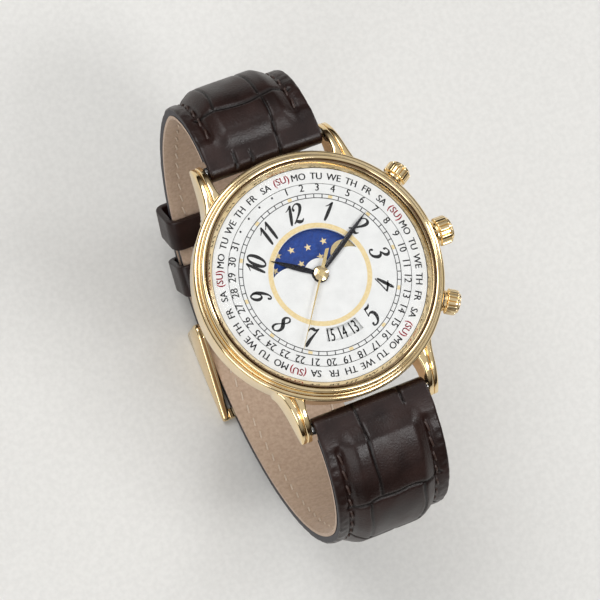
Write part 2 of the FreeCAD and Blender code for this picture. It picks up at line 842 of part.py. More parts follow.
# Moon work: a crown pinion on the 4 o'clock stem turns a setting wheel, which turns the moon disc's wheel.
moon_wheel_teeth = 31
moon_wheel_radius = 3.1
moon_setting_teeth = 20
moon_setting_radius = 2.0
moon_face_teeth = 22
moon_pinion_teeth = 6
moon_face_radius = 1.65
moon_pinion_radius = moon_face_radius * moon_pinion_teeth / moon_face_teeth
moon_pitch_z = crown_axis_z.value + moon_pinion_radius
moon_face_addendum = 0.12
moon_face_dedendum = 0.18
moon_bearing = -side_crown_angle.value
moon_setting_distance = moon_wheel_radius + moon_setting_radius
moon_setting_x = moon_setting_distance * math.cos(math.radians(moon_bearing))
moon_setting_y = moon_setting_distance * math.sin(math.radians(moon_bearing))
moon_wheel_low = calendar_floor.value + wheel_gap.value
moon_wheel_high = moon_wheel_low + 0.2
moon_low = moon_disc_z.value
moon_solid = fuse_all([
    wheel(moon_wheel_teeth, moon_wheel_radius, 0.0, moon_wheel_low, moon_wheel_high),
    pillar(2.2, moon_wheel_high, moon_low),
    pillar(moon_disc_radius.value, moon_low, moon_low + disc_thickness.value),
]).cut(pillar(boss_radius.value + wheel_gap.value, moon_wheel_low, moon_low + 1.0))
shaped("moon_disc", moon_solid)
moon_setting_phase = meshed_phase(
    moon_wheel_teeth, 0.0, moon_wheel_radius, moon_setting_teeth, moon_setting_radius, moon_bearing
)
moon_plate_low = moon_pitch_z + moon_face_dedendum
setting_parts = [
    wheel(moon_setting_teeth, moon_setting_radius, moon_setting_phase, moon_plate_low, moon_wheel_high),
    pillar(0.25, recess_z.value, moon_plate_low),
] + face_teeth(
    moon_face_teeth,
    moon_face_radius,
    moon_face_radius - 0.25,
    moon_face_radius + 0.25,
    moon_plate_low,
    moon_pitch_z - moon_face_addendum,
    moon_bearing,
)
shaped("moon_setting_wheel", fuse_all(setting_parts), moon_setting_x, moon_setting_y)

# Date ring: a flat printed ring with a rim of thirty-one internal teeth and an outer hoop below it.
date_teeth = 31
date_flange_low = calendar_floor.value + 1.6 * wheel_gap.value
date_print_low = moon_disc_z.value
date_tooth_height = 0.3
tooth_foot = date_ring_inner.value + date_tooth_height
tooth_rim = pillar(tooth_foot + 0.4, date_flange_low, date_print_low, tooth_foot)
hoop = pillar(date_ring_outer.value, date_flange_low, date_print_low, date_ring_outer.value - 0.3)
date_face = pillar(date_ring_outer.value, date_print_low, date_print_low + 0.2, date_ring_inner.value)
date_tooth_solids = []
for n in range(date_teeth):
    tooth = Part.makeBox(
        date_tooth_height + 0.1, 0.3, date_print_low - date_flange_low,
        V(date_ring_inner.value, -0.15, date_flange_low),
    )
    tooth.rotate(V(0, 0, 0), V(0, 0, 1), (n + 0.5) * FULL_TURN / date_teeth)
    date_tooth_solids.append(tooth)
shaped("date_ring", fuse_all([tooth_rim, hoop, date_face] + date_tooth_solids))

# Motion work over the main plate: cannon pinion, minute wheel, hour wheel, date driving wheel, setting wheel.
cannon_teeth = 12
minute_wheel_teeth = 36
motion_module = 0.14
cannon_radius = cannon_teeth * motion_module / 2
minute_wheel_radius = minute_wheel_teeth * motion_module / 2
minute_bearing = 20.0
motion_distance = cannon_radius + minute_wheel_radius
minute_pinion_teeth = 10
hour_teeth = 40
minute_pinion_radius = motion_distance * minute_pinion_teeth / (minute_pinion_teeth + hour_teeth)
hour_wheel_radius = motion_distance - minute_pinion_radius
minute_x = motion_distance * math.cos(math.radians(minute_bearing))
minute_y = motion_distance * math.sin(math.radians(minute_bearing))
centre_pipe = 0.45
cannon_bore = centre_pipe + 0.02
cannon_pipe = 0.64
hour_bore = cannon_pipe + wheel_gap.value
hour_pipe = 0.92
second_arbor = 0.2
hour_hand_z = dial_z.value + hand_lift.value
minute_hand_z = hour_hand_z + hand_thickness.value + 0.8 * hand_lift.value
second_hand_z = minute_hand_z + hand_thickness.value + hand_lift.value
motion_low = recess_z.value + wheel_gap.value
hour_low = motion_low + 0.25
date_drive_low = hour_low + 0.2

cannon_parts = [
    wheel(cannon_teeth, cannon_radius, 0.0, motion_low, motion_low + 0.2),
    pillar(cannon_pipe, motion_low, minute_hand_z + hand_thickness.value),
]
cannon_core = pillar(cannon_bore, motion_low - 1.0, minute_hand_z + 1.0)
shaped("cannon_pinion", fuse_all(cannon_parts).cut(cannon_core))

minute_phase = meshed_phase(
    cannon_teeth, 0.0, cannon_radius, minute_wheel_teeth, minute_wheel_radius, minute_bearing
)
minute_parts = [
    wheel(minute_wheel_teeth, minute_wheel_radius, minute_phase, motion_low, motion_low + wheel_thickness.value),
    wheel(minute_pinion_teeth, minute_pinion_radius, minute_bearing, motion_low, hour_low + 0.2),
    pillar(0.25, recess_z.value, hour_low + 0.2),
]
shaped("minute_wheel", fuse_all(minute_parts), minute_x, minute_y)

hour_phase = meshed_phase(
    minute_pinion_teeth, minute_bearing, minute_pinion_radius, hour_teeth, hour_wheel_radius, 180.0 + minute_bearing
)
date_drive_teeth = 40
date_hour_teeth = 20
date_drive_distance = 5.5
date_hour_radius = date_drive_distance * date_hour_teeth / (date_hour_teeth + date_drive_teeth)
date_drive_radius = date_drive_distance - date_hour_radius
hour_parts = [
    wheel(hour_teeth, hour_wheel_radius, hour_phase, hour_low, hour_low + wheel_thickness.value),
    wheel(date_hour_teeth, date_hour_radius, 0.0, hour_low, date_drive_low + wheel_thickness.value),
    pillar(hour_pipe, hour_low, hour_hand_z + hand_thickness.value),
]
hour_core = pillar(hour_bore, motion_low - 1.0, minute_hand_z + 1.0)
shaped("hour_wheel", fuse_all(hour_parts).cut(hour_core))

date_drive_phase = meshed_phase(
    date_hour_teeth, 0.0, date_hour_radius, date_drive_teeth, date_drive_radius, 180.0
)
finger_low = calendar_floor.value + 1.6 * wheel_gap.value
finger = Part.makeBox(1.88, 0.3, 0.2, V(0, -0.15, finger_low))
finger.rotate(V(0, 0, 0), V(0, 0, 1), 135.0)
date_drive_parts = [
    wheel(date_drive_teeth, date_drive_radius, date_drive_phase, date_drive_low,
          date_drive_low + wheel_thickness.value),
    pillar(0.35, recess_z.value, finger_low + 0.2),
    finger,
]
shaped("date_driving_wheel", fuse_all(date_drive_parts), -date_drive_distance, 0.0)

setting_teeth = 16
setting_radius = setting_teeth * motion_module / 2
setting_distance = minute_wheel_radius + setting_radius
setting_x = minute_x + math.sqrt(setting_distance ** 2 - minute_y ** 2)
setting_bearing = math.degrees(math.atan2(-minute_y, setting_x - minute_x))
setting_phase = meshed_phase(
    minute_wheel_teeth, minute_phase, minute_wheel_radius, setting_teeth, setting_radius, setting_bearing
)
setting_wheel_parts = [
    wheel(setting_teeth, setting_radius, setting_phase, motion_low, motion_low + 0.2),
    pillar(0.3, recess_z.value, motion_low + 0.2),
]
shaped("setting_wheel", fuse_all(setting_wheel_parts), setting_x, 0.0)

# Going train between the bridge and the main plate.
train_floor = bridge_z.value + bridge_thickness.value
train_roof = main_plate_z.value
train_module = 0.12
rotor_teeth = 8
fifth_teeth = 40
fifth_pinion_teeth = 8
fourth_teeth = 48
fourth_pinion_teeth = 8
third_teeth = 60
third_pinion_teeth = 8
centre_teeth = 64
rotor_pinion_radius = rotor_teeth * train_module / 2
fifth_radius = fifth_teeth * train_module / 2
fifth_pinion_radius = fifth_pinion_teeth * train_module / 2
fourth_radius = fourth_teeth * train_module / 2
fourth_pinion_radius = fourth_pinion_teeth * train_module / 2
third_radius = third_teeth * train_module / 2
third_distance = fourth_pinion_radius + third_radius
third_pinion_radius = third_distance * third_pinion_teeth / (third_pinion_teeth + centre_teeth)
centre_radius = third_distance - third_pinion_radius
fifth_distance = fourth_radius + fifth_pinion_radius
rotor_distance = fifth_radius + rotor_pinion_radius
third_bearing = 100.0
fifth_bearing = 250.0
rotor_bearing = 235.0
third_x = third_distance * math.cos(math.radians(third_bearing))
third_y = third_distance * math.sin(math.radians(third_bearing))
fifth_x = fifth_distance * math.cos(math.radians(fifth_bearing))
fifth_y = fifth_distance * math.sin(math.radians(fifth_bearing))
rotor_x = fifth_x + rotor_distance * math.cos(math.radians(rotor_bearing))
rotor_y = fifth_y + rotor_distance * math.sin(math.radians(rotor_bearing))
fourth_low = train_floor + 0.2
fourth_high = fourth_low + wheel_thickness.value
third_low = fourth_high + 0.1
fifth_low = fourth_high + 0.15
centre_low = third_low + 0.5
pivot = 0.15
pivot_floor = train_floor + 0.02
pivot_roof = train_roof - 0.02

fourth_parts = [
    wheel(fourth_teeth, fourth_radius, 0.0, fourth_low, fourth_high),
    wheel(fourth_pinion_teeth, fourth_pinion_radius, 0.0, fourth_high, third_low + 0.3),
    pillar(second_arbor, pivot_floor, second_hand_z + 0.1),
]
shaped("fourth_wheel", fuse_all(fourth_parts))

third_phase = meshed_phase(
    fourth_pinion_teeth, 0.0, fourth_pinion_radius, third_teeth, third_radius, third_bearing
)
third_parts = [
    wheel(third_teeth, third_radius, third_phase, third_low, third_low + wheel_thickness.value),
    wheel(third_pinion_teeth, third_pinion_radius, 0.0, third_low + wheel_thickness.value, centre_low + 0.25),
    pillar(pivot, pivot_floor, pivot_roof),
]
shaped("third_wheel", fuse_all(third_parts), third_x, third_y)

centre_phase = meshed_phase(
    third_pinion_teeth, 0.0, third_pinion_radius, centre_teeth, centre_radius, 180.0 + third_bearing
)
centre_parts = [
    wheel(centre_teeth, centre_radius, centre_phase, centre_low, centre_low + wheel_thickness.value),
    pillar(centre_pipe, centre_low, minute_hand_z + hand_thickness.value),
]
centre_core = pillar(second_arbor + wheel_gap.value, centre_low - 1.0, second_hand_z)
shaped("centre_wheel", fuse_all(centre_parts).cut(centre_core))

fifth_pinion_phase = meshed_phase(
    fourth_teeth, 0.0, fourth_radius, fifth_pinion_teeth, fifth_pinion_radius, fifth_bearing
)
fifth_parts = [
    wheel(fifth_pinion_teeth, fifth_pinion_radius, fifth_pinion_phase, fourth_low - 0.05, fifth_low),
    wheel(fifth_teeth, fifth_radius, 0.0, fifth_low, fifth_low + wheel_thickness.value),
    pillar(pivot, pivot_floor, centre_low - wheel_gap.value),
]
shaped("fifth_wheel", fuse_all(fifth_parts), fifth_x, fifth_y)

rotor_phase = meshed_phase(
    fifth_teeth, 0.0, fifth_radius, rotor_teeth, rotor_pinion_radius, rotor_bearing
)
magnet_low = fifth_low + 0.45
magnet_radius = 0.7
rotor_parts = [
    wheel(rotor_teeth, rotor_pinion_radius, rotor_phase, fifth_low - 0.05, magnet_low),
    pillar(magnet_radius, magnet_low, magnet_low + 0.45),
    pillar(pivot, pivot_floor, pivot_roof),
]
shaped("rotor", fuse_all(rotor_parts), rotor_x, rotor_y)

# Stepping motor: a stator about the rotor, with two arms down to the ends of the coil's core.
stator_low = magnet_low + 0.1
stator_thickness = 0.25
arm_width = 1.3
motor_half = coil_length.value / 2 + arm_width
coil_y = rotor_y - 4.2
stator_half_height = 1.35
stator_bore = magnet_radius + 0.25
motor_x = rotor_x
stator_points = [
    V(motor_x - motor_half, rotor_y + stator_half_height, 0),
    V(motor_x - motor_half, coil_y - arm_width / 2, 0),
    V(motor_x - motor_half + arm_width, coil_y - arm_width / 2, 0),
    V(motor_x - motor_half + arm_width, rotor_y - stator_half_height, 0),
    V(motor_x + motor_half - arm_width, rotor_y - stator_half_height, 0),
    V(motor_x + motor_half - arm_width, coil_y - arm_width / 2, 0),
    V(motor_x + motor_half, coil_y - arm_width / 2, 0),
    V(motor_x + motor_half, rotor_y + stator_half_height, 0),
]
stator_bore_solid = Part.makeCylinder(stator_bore, 1.0, V(rotor_x, rotor_y, stator_low - 0.3))
shaped("stator", prism(stator_points, stator_low, stator_low + stator_thickness).cut(stator_bore_solid))
core_thickness = 0.25
core_z = stator_low - core_thickness - 0.02
core_bar = Part.makeBox(
    2 * motor_half, arm_width, core_thickness, V(motor_x - motor_half, coil_y - arm_width / 2, core_z)
)
winding = Part.makeCylinder(
    coil_radius.value, coil_length.value - 0.4,
    V(motor_x - coil_length.value / 2 + 0.2, coil_y, core_z + core_thickness / 2), V(1, 0, 0),
)
shaped("coil", core_bar.fuse(winding))

# Main plate: a disc with recesses for the motion work, the keyless work and the stems, on three bridge posts.
plate_thickness = calendar_plate_z - 0.02 - main_plate_z
main_disc = plate(
    None,
    [(0.0, 0.0, movement_radius), (0.0, 0.0, Size(centre_pipe + 0.1, repr(centre_pipe + 0.1)))],
    main_plate_z,
    plate_thickness,
)
posts_at = ((4.0, 8.0), (-5.2, 7.8), (3.9, -6.9))
bridge_posts = [
    rod(post_radius, main_plate_z - bridge_z - bridge_thickness, x, y, bridge_z + bridge_thickness)
    for x, y in posts_at
]
over_plate = 1.0
recess_height = calendar_plate_z + over_plate
stem_channel = 0.6
screw_shank = screw_radius - 0.22
shank_reach = 0.35
recesses = [
    rod(screw_shank + 0.02, shank_reach, x, y, bridge_z + bridge_thickness) for x, y in posts_at
]
recesses += [
    block((-9.6, -4.1, recess_z), (8.5, 4.1, recess_height)),
    block((8.1, -1.1, main_plate_z - over_plate), (10.7, 1.1, recess_height)),
    block((10.6, -4.0, 3.55), (14.0, stem_channel, recess_height)),
    block((8.4, stem_channel - 0.1, recess_z), (14.0, 3.6, recess_height)),
    rod(2.3, recess_height - recess_z, moon_setting_x, moon_setting_y, recess_z),
]
channel = block((0.0, -0.75, 3.55), (8.0, 0.75, recess_height))
place(
    channel,
    6.1 * math.cos(math.radians(moon_bearing)) - 0.75 * math.sin(math.radians(-moon_bearing)) * 1.0,
    6.1 * math.sin(math.radians(moon_bearing)) - 0.75 * math.cos(math.radians(-moon_bearing)) * 1.0,
    3.55,
    (0, 0, 1),
    moon_bearing,
)
cut("main_plate", joined(None, [main_disc] + bridge_posts), recesses + [channel])

# Calendar plate openings: over the moon setting wheel and its pinion, the clutch and the date driving arbor.
pinion_slot = block((0.0, -0.75, calendar_plate_z - 0.1), (2.6, 0.75, calendar_floor + 0.05))
place(
    pinion_slot,
    5.1 * math.cos(math.radians(moon_bearing)) - 0.75 * math.sin(math.radians(-moon_bearing)),
    5.1 * math.sin(math.radians(moon_bearing)) - 0.75 * math.cos(math.radians(-moon_bearing)),
    calendar_plate_z - 0.1,
    (0, 0, 1),
    moon_bearing,
)
calendar_holes = [
    rod(2.28, 0.6, moon_setting_x, moon_setting_y, calendar_plate_z - 0.3),
    rod(0.45, 0.6, -date_drive_distance, 0.0, calendar_plate_z - 0.3),
    block((8.8, -1.0, calendar_plate_z - 0.3), (10.6, 1.0, calendar_floor + 0.05)),
    pinion_slot,
]
cut("calendar_plate", calendar_turned, calendar_holes)

# Movement holder: a moulded channel ring between the movement and the case, pierced for the stems.
holder_outer = cavity_radius - 2 * running_clearance
channel_inner = movement_radius + running_clearance + holder_inner_wall
holder_body = turned(
    None,
    [
        (movement_radius + running_clearance, holder_foot_z),
        (holder_outer, holder_foot_z),
        (holder_outer, bezel_seat_z - running_clearance),
        (holder_outer - holder_wall, bezel_seat_z - running_clearance),
        (holder_outer - holder_wall, holder_floor_z),
        (channel_inner, holder_floor_z),
        (channel_inner, bezel_seat_z - running_clearance),
        (movement_radius + running_clearance, bezel_seat_z - running_clearance),
    ],
)
stem_holes = [radial_rod(stem_radius + running_clearance, movement_radius - 1.0, far_out, a) for n, a in crown_angles]
cut("movement_holder", holder_body, stem_holes)

# Train bridge and its three screws.
bridge_outline = [(-6.2, -7.9), (4.7, -7.9), (4.7, 9.0), (-6.2, 9.0)]
bridge_holes = [(x, y, screw_shank + 0.02) for x, y in posts_at]
plate("train_bridge", [bridge_outline] + bridge_holes, bridge_z, bridge_thickness)
screws = []
for x, y in posts_at:
    head = Part.makeCylinder(screw_radius.value, 0.2, V(x, y, bridge_z.value - 0.21))
    slot = Part.makeBox(2 * screw_radius.value, 0.2, 0.1, V(x - screw_radius.value, y - 0.1, bridge_z.value - 0.21))
    shank_length = bridge_thickness.value + shank_reach
    shank = Part.makeCylinder(screw_shank.value, shank_length, V(x, y, bridge_z.value - 0.02))
    screws.append(head.fuse(shank).cut(slot))
shaped("bridge_screws", Part.makeCompound(screws))

# Battery and its clamp, circuit board and quartz can.
battery_low = holder_foot_z
plate("battery", [(battery_x, battery_y, battery_radius)], battery_low, battery_thickness)
clamp_low = back_thickness + 2 * running_clearance
clamp_outline = [
    (battery_x - battery_radius - 0.2, battery_y - 0.8),
    (battery_x + battery_radius - 0.4, battery_y - 0.8),
    (battery_x + battery_radius - 0.4, battery_y + 0.8),
    (battery_x - battery_radius - 0.2, battery_y + 0.8),
]
plate("battery_clamp", [clamp_outline], clamp_low, battery_low - clamp_low - 0.02)
board_outline = [(-11.6, -4.6), (-7.0, -4.6), (-7.0, 5.4), (-11.6, 5.4)]
plate("circuit_board", [board_outline], main_plate_z - 0.6, 0.3)
can_radius = 0.75
rod_can = rod(can_radius, 5.0, -9.2, -2.4, main_plate_z - 0.6 - can_radius - 0.02, (1, 0, 0), -RIGHT_ANGLE)
node("quartz_can", rod_can)

# Keyless work: square-ended stem in the sliding clutch wheel, setting lever with its pin in the stem's groove,
# and the yoke in the clutch wheel's groove.
clutch_radius = 0.8
clutch_start = 9.0
clutch_stop = 10.4
square = 0.52
clutch_solid = fuse_all([
    wheel(12, 0.66, 0.0, 0.0, 0.5, 0.0),
    pillar(clutch_radius, 0.5, 0.65),
    pillar(0.5, 0.65, 0.95),
    pillar(clutch_radius, 0.95, clutch_stop - clutch_start),
])
square_hole = Part.makeBox(square + 0.08, square + 0.08, 3.0, V(-square / 2 - 0.04, -square / 2 - 0.04, -1.0))
shaped("clutch_wheel", clutch_solid.cut(square_hole), clutch_start, 0.0, crown_axis_z, (0, 1, 0), RIGHT_ANGLE)

groove_start = 11.2
groove_stop = 11.7
stem_end = crown_seat.value + crown_bore_depth.value - 0.01
stem_parts = [
    Part.makeBox(square, square, 2.6, V(-square / 2, -square / 2, 8.2)),
    pillar(stem_radius.value, 10.75, groove_start),
    pillar(0.25, groove_start, groove_stop),
    pillar(stem_radius.value, groove_stop, stem_end),
]
shaped("main_stem", fuse_all(stem_parts), 0.0, 0.0, crown_axis_z, (0, 1, 0), RIGHT_ANGLE)

lever_arm = 3.0
lever_x = (groove_start + groove_stop) / 2
lever_low = 3.58
lever_points = [V(-0.35, -0.4, 0), V(0.35, -0.4, 0), V(0.22, lever_arm + 0.2, 0), V(-0.22, lever_arm + 0.2, 0)]
lever_parts = [
    prism(lever_points, lever_low, lever_low + 0.2),
    pillar(0.45, lever_low, lever_low + 0.9),
    Part.makeCylinder(0.18, 0.44, V(0, lever_arm, lever_low)),
]
shaped("setting_lever", fuse_all(lever_parts), lever_x, -lever_arm, 0.0)

yoke_low = 4.2
yoke_points = [
    V(9.7, 0.6, 0), V(9.9, 0.6, 0), V(9.9, 1.3, 0), V(12.0, 2.4, 0), V(12.0, 3.2, 0), V(11.2, 3.2, 0), V(9.7, 1.9, 0)
]
yoke_pin = Part.makeCylinder(0.35, 0.6, V(11.6, 2.8, recess_z.value + 0.01))
shaped("yoke", prism(yoke_points, yoke_low, yoke_low + 0.2).fuse(yoke_pin))


def side_stem(name, angle, teeth, pitch_radius, addendum, dedendum, start, length, neck, stem_start):
    """A stem with a pinion at its inner end, one tooth of it straight up."""
    points = []
    step = 2.0 * math.pi / teeth
    for n in range(teeth):
        middle = n * step
        for radius, share in (
            (pitch_radius - dedendum, -TOOTH_ROOT),
            (pitch_radius, -TOOTH_MIDDLE),
            (pitch_radius + addendum, -TOOTH_TIP),
            (pitch_radius + addendum, TOOTH_TIP),
            (pitch_radius, TOOTH_MIDDLE),
            (pitch_radius - dedendum, TOOTH_ROOT),
        ):
            turn = middle + share * step
            points.append(V(-radius * math.cos(turn), radius * math.sin(turn), 0))
    parts = [
        prism(points, start, start + length),
        pillar(neck, start - 0.3, stem_start + 0.1),
        pillar(stem_radius.value, stem_start, stem_end),
    ]
    solid = fuse_all(parts)
    made = shaped(name, solid)
    turn = FreeCAD.Rotation(V(0, 0, 1), angle) * FreeCAD.Rotation(V(0, 1, 0), RIGHT_ANGLE)
    made.Placement = FreeCAD.Placement(V(0, 0, crown_axis_z.value), turn)
    return made


side_stem(
    "weekday_stem", side_crown_angle.value, weekday_pinion_teeth, weekday_pinion_radius, face_addendum, 0.25,
    weekday_tooth_radius - 0.45, 0.9, stem_radius.value, weekday_tooth_radius - 0.6,
)
side_stem(
    "moon_stem", moon_bearing, moon_pinion_teeth, moon_pinion_radius, moon_face_addendum, 0.15,
    moon_setting_distance + moon_face_radius - 0.3, 0.6, moon_pinion_radius - 0.17,
    moon_setting_distance + moon_setting_radius + 0.3,
)


# Crowns: fluted knobs with a collar towards the case, a stepped cap and a low dome, bored for the crown tube.
def crown(name, radius, length, angle):
    body = new_body()
    collar = radius - 0.35
    collar_length = 0.3
    cap = radius * 0.78
    shoulder_z = length - 0.5
    cap_z = length - 0.3
    rise = 0.3
    dome = (cap * cap + rise * rise) / (2 * rise)
    bore = tube_radius + 2 * running_clearance
    turn_up(
        body,
        [
            (bore, 0.0),
            (collar, 0.0),
            (collar, collar_length),
            (radius, collar_length + 0.15),
            (radius, shoulder_z - 0.2),
            (radius - 0.2, shoulder_z),
            (cap, shoulder_z),
            (cap, cap_z, 0.0, length - dome, dome, 1),
            (0.0, length),
            (0.0, crown_bore_depth),
            (bore, crown_bore_depth),
        ],
    )
    flute_sketch = new_sketch(body, "XY_Plane", collar_length)
    round_outline(flute_sketch, radius + 0.05, 0.0, flute_radius)
    flute = thicken(body, flute_sketch, length, False, "PartDesign::Pocket")
    flute.Reversed = True
    pattern = body.newObject("PartDesign::PolarPattern", "Flutes")
    pattern.Originals = [flute]
    pattern.Axis = (flute_sketch, ["N_Axis"])
    pattern.Angle = FULL_TURN
    pattern.Occurrences = max(12, round(2 * math.pi * radius.value / (2.6 * flute_radius.value)))
    body.Tip = pattern
    turn = FreeCAD.Rotation(V(0, 0, 1), number(angle)) * FreeCAD.Rotation(V(0, 1, 0), RIGHT_ANGLE)
    spot = FreeCAD.Rotation(V(0, 0, 1), number(angle)).multVec(V(crown_seat.value, 0, 0))
    body.Placement = FreeCAD.Placement(spot + V(0, 0, crown_axis_z.value), turn)
    body.setExpression("Placement.Base.x", (crown_seat * cosine(angle)).text)
    body.setExpression("Placement.Base.y", (crown_seat * sine(angle)).text)
    body.setExpression("Placement.Base.z", crown_axis_z.text)
    return node(name, body)


crown("main_crown", main_crown_radius, main_crown_length, 0.0)
crown("weekday_crown", side_crown_radius, side_crown_length, side_crown_angle)
crown("moon_crown", side_crown_radius, side_crown_length, -side_crown_angle)


# Hands at about nine and a half minutes past ten.
hour_angle = 304.8
minute_angle = 57.6
second_angle = 216.0


def leaf(length, tail):
    """A leaf hand's outline along +Y: two arcs that meet at its tip and behind its boss."""
    half = (length + tail) / 2
    middle = (length - tail) / 2
    bulge = hand_width / 2
    bow = (half * half + bulge * bulge) / (2 * bulge)
    return [
        (0.0, -tail, bulge - bow, middle, bow, 1),
        (0.0, length, bow - bulge, middle, bow, 1),
    ]


def hand(name, length, low, boss, bore, clockwise):
    body = new_body()
    leaf_sketch = new_sketch(body, "XY_Plane")
    outline(leaf_sketch, leaf(length, boss))
    thicken(body, leaf_sketch, hand_thickness)
    boss_sketch = new_sketch(body, "XY_Plane")
    round_outline(boss_sketch, 0.0, 0.0, boss)
    thicken(body, boss_sketch, hand_thickness)
    bore_sketch = new_sketch(body, "XY_Plane")
    round_outline(bore_sketch, 0.0, 0.0, bore)
    thicken(body, bore_sketch, 2.0, True, "PartDesign::Pocket")
    place(body, 0.0, 0.0, low, (0, 0, 1), -clockwise)
    return node(name, body)


hour_boss = size("hour_boss", 1.3)
minute_boss = size("minute_boss", 1.05)
second_boss = size("second_boss", 1.07)
doc.recompute()
hand("hour_hand", hour_hand_length, dial_z + hand_lift, hour_boss, hour_pipe + 0.01, hour_angle)
hand(
    "minute_hand",
    minute_hand_length,
    dial_z + hand_lift * 1.8 + hand_thickness,
    minute_boss,
    cannon_pipe + 0.01,
    minute_angle,
)

second_needle = 0.16
second_tail_length = 3.5
second_tail_width = 0.5
second_low = dial_z + hand_lift * 2.8 + hand_thickness * 2
second_body = new_body()
needle_sketch = new_sketch(second_body, "XY_Plane")
outline(
    needle_sketch,
    [(-second_needle, 0.0), (second_needle, 0.0), (second_needle * 0.4, second_hand_length),
     (-second_needle * 0.4, second_hand_length)],
)
thicken(second_body, needle_sketch, hand_thickness)
tail_sketch = new_sketch(second_body, "XY_Plane")
outline(
    tail_sketch,
    [(-second_tail_width / 2, -second_tail_length), (second_tail_width / 2, -second_tail_length),
     (second_tail_width / 2, 0.0), (-second_tail_width / 2, 0.0)],
)
thicken(second_body, tail_sketch, hand_thickness)
hub_sketch = new_sketch(second_body, "XY_Plane")
round_outline(hub_sketch, 0.0, 0.0, second_boss)
thicken(second_body, hub_sketch, hand_thickness)
cap_sketch = new_sketch(second_body, "XY_Plane")
round_outline(cap_sketch, 0.0, 0.0, second_boss * 0.5)
thicken(second_body, cap_sketch, hand_thickness * 1.9)
eye_sketch = new_sketch(second_body, "XY_Plane")
round_outline(eye_sketch, 0.0, 0.0, second_arbor + 0.01)
thicken(second_body, eye_sketch, hand_thickness * 1.6, True, "PartDesign::Pocket")
place(second_body, 0.0, 0.0, second_low, (0, 0, 1), -second_angle)
node("second_hand", second_body)

# Spring bars in the lugs: a tube with a thin tip at each end.
for bar_name, way in (("spring_bar_12", 1), ("spring_bar_6", -1)):
    bar_half = lug_inner_x - running_clearance
    tube = rod(spring_bar_radius, 2 * bar_half, -bar_half, way * spring_bar_y, spring_bar_z, (0, 1, 0), RIGHT_ANGLE)
    tip_half = lug_inner_x + bar_tip_length
    tips = rod(bar_tip_radius, 2 * tip_half, -tip_half, way * spring_bar_y, spring_bar_z, (0, 1, 0), RIGHT_ANGLE)
    joined(bar_name, [tube, tips])

# Strap. In side view each half runs from its spring bar out to a shoulder arc and down a large arc to the bottom
# of the loop. The short half ends at the buckle bar. The long half passes inside the buckle's front bar and on
# over the outside of the short half as its tail.
strap_thickness = leather + lining
strap_top_z = spring_bar_z + strap_end_radius
short_radius = reach_twelve - strap_bottom_y
short_centre_z = strap_bottom_z + short_radius
tail_radius = short_radius + layer_gap + strap_thickness
long_bottom_z = short_centre_z - tail_radius
long_radius = reach_six + strap_bottom_y
long_centre_z = long_bottom_z + long_radius
short_shoulder = strap_top_z - short_centre_z
short_shoulder_y = reach_twelve - short_shoulder
long_shoulder = strap_top_z - long_centre_z
long_shoulder_y = reach_six - long_shoulder
bar_path = short_radius - strap_end_radius
bar_down = root_of(bar_path * bar_path - (buckle_bar_y - strap_bottom_y) * (buckle_bar_y - strap_bottom_y))
buckle_bar_z = short_centre_z - bar_down


def short_band(outer, inner, start_y):
    """Side view of one layer of the short half between two depths below its outer face."""
    end_down = bar_down / bar_path
    end_over = (buckle_bar_y - strap_bottom_y) / bar_path
    big_out = short_radius - outer
    big_in = short_radius - inner
    return [
        (start_y, strap_top_z - inner),
        (start_y, strap_top_z - outer),
        (short_shoulder_y, strap_top_z - outer, short_shoulder_y, short_centre_z, short_shoulder - outer, -1),
        (reach_twelve - outer, short_centre_z, strap_bottom_y, short_centre_z, big_out, -1),
        (strap_bottom_y + big_out * end_over, short_centre_z - big_out * end_down),
        (
            strap_bottom_y + big_in * end_over,
            short_centre_z - big_in * end_down,
            strap_bottom_y,
            short_centre_z,
            big_in,
            1,
        ),
        (reach_twelve - inner, short_centre_z, short_shoulder_y, short_centre_z, short_shoulder - inner, 1),
        (short_shoulder_y, strap_top_z - inner),
    ]


def long_band(outer, inner, start_y):
    """Side view of one layer of the long half, with its tail, between two depths below its outer face."""
    tail_out = tail_radius - outer
    tail_in = tail_radius - inner
    over = sine(tail_angle)
    down = cosine(tail_angle)
    return [
        (-start_y, strap_top_z - outer),
        (-start_y, strap_top_z - inner),
        (-long_shoulder_y, strap_top_z - inner, -long_shoulder_y, long_centre_z, long_shoulder - inner, 1),
        (-(reach_six - inner), long_centre_z, strap_bottom_y, long_centre_z, long_radius - inner, 1),
        (strap_bottom_y, long_bottom_z + inner, strap_bottom_y, short_centre_z, tail_in, 1),
        (strap_bottom_y + tail_in * over, short_centre_z - tail_in * down),
        (
            strap_bottom_y + tail_out * over,
            short_centre_z - tail_out * down,
            strap_bottom_y,
            short_centre_z,
            tail_out,
            -1,
        ),
        (strap_bottom_y, long_bottom_z + outer, strap_bottom_y, long_centre_z, long_radius - outer, -1),
        (-(reach_six - outer), long_centre_z, -long_shoulder_y, long_centre_z, long_shoulder - outer, -1),
        (-long_shoulder_y, strap_top_z - outer),
    ]


def taper():
    """A tall wedge as wide as the strap: full width down to the crest, narrower towards the buckle."""
    body = new_body()
    sketch = new_sketch(body, "XZ_Plane")
    wide = strap_width / 2
    narrow = strap_buckle_width / 2
    foot_z = buckle_foot_z - 2.0
    outline(
        sketch,
        [(-narrow, foot_z), (narrow, foot_z), (wide, 0.0), (wide, strap_top_z + 2.0),
         (-wide, strap_top_z + 2.0), (-wide, 0.0)],
    )
    thicken(body, sketch, 100.0, True)
    return body


def tapered(body):
    made = doc.addObject("Part::Common", "Common")
    made.Base = body
    made.Tool = taper()
    return made


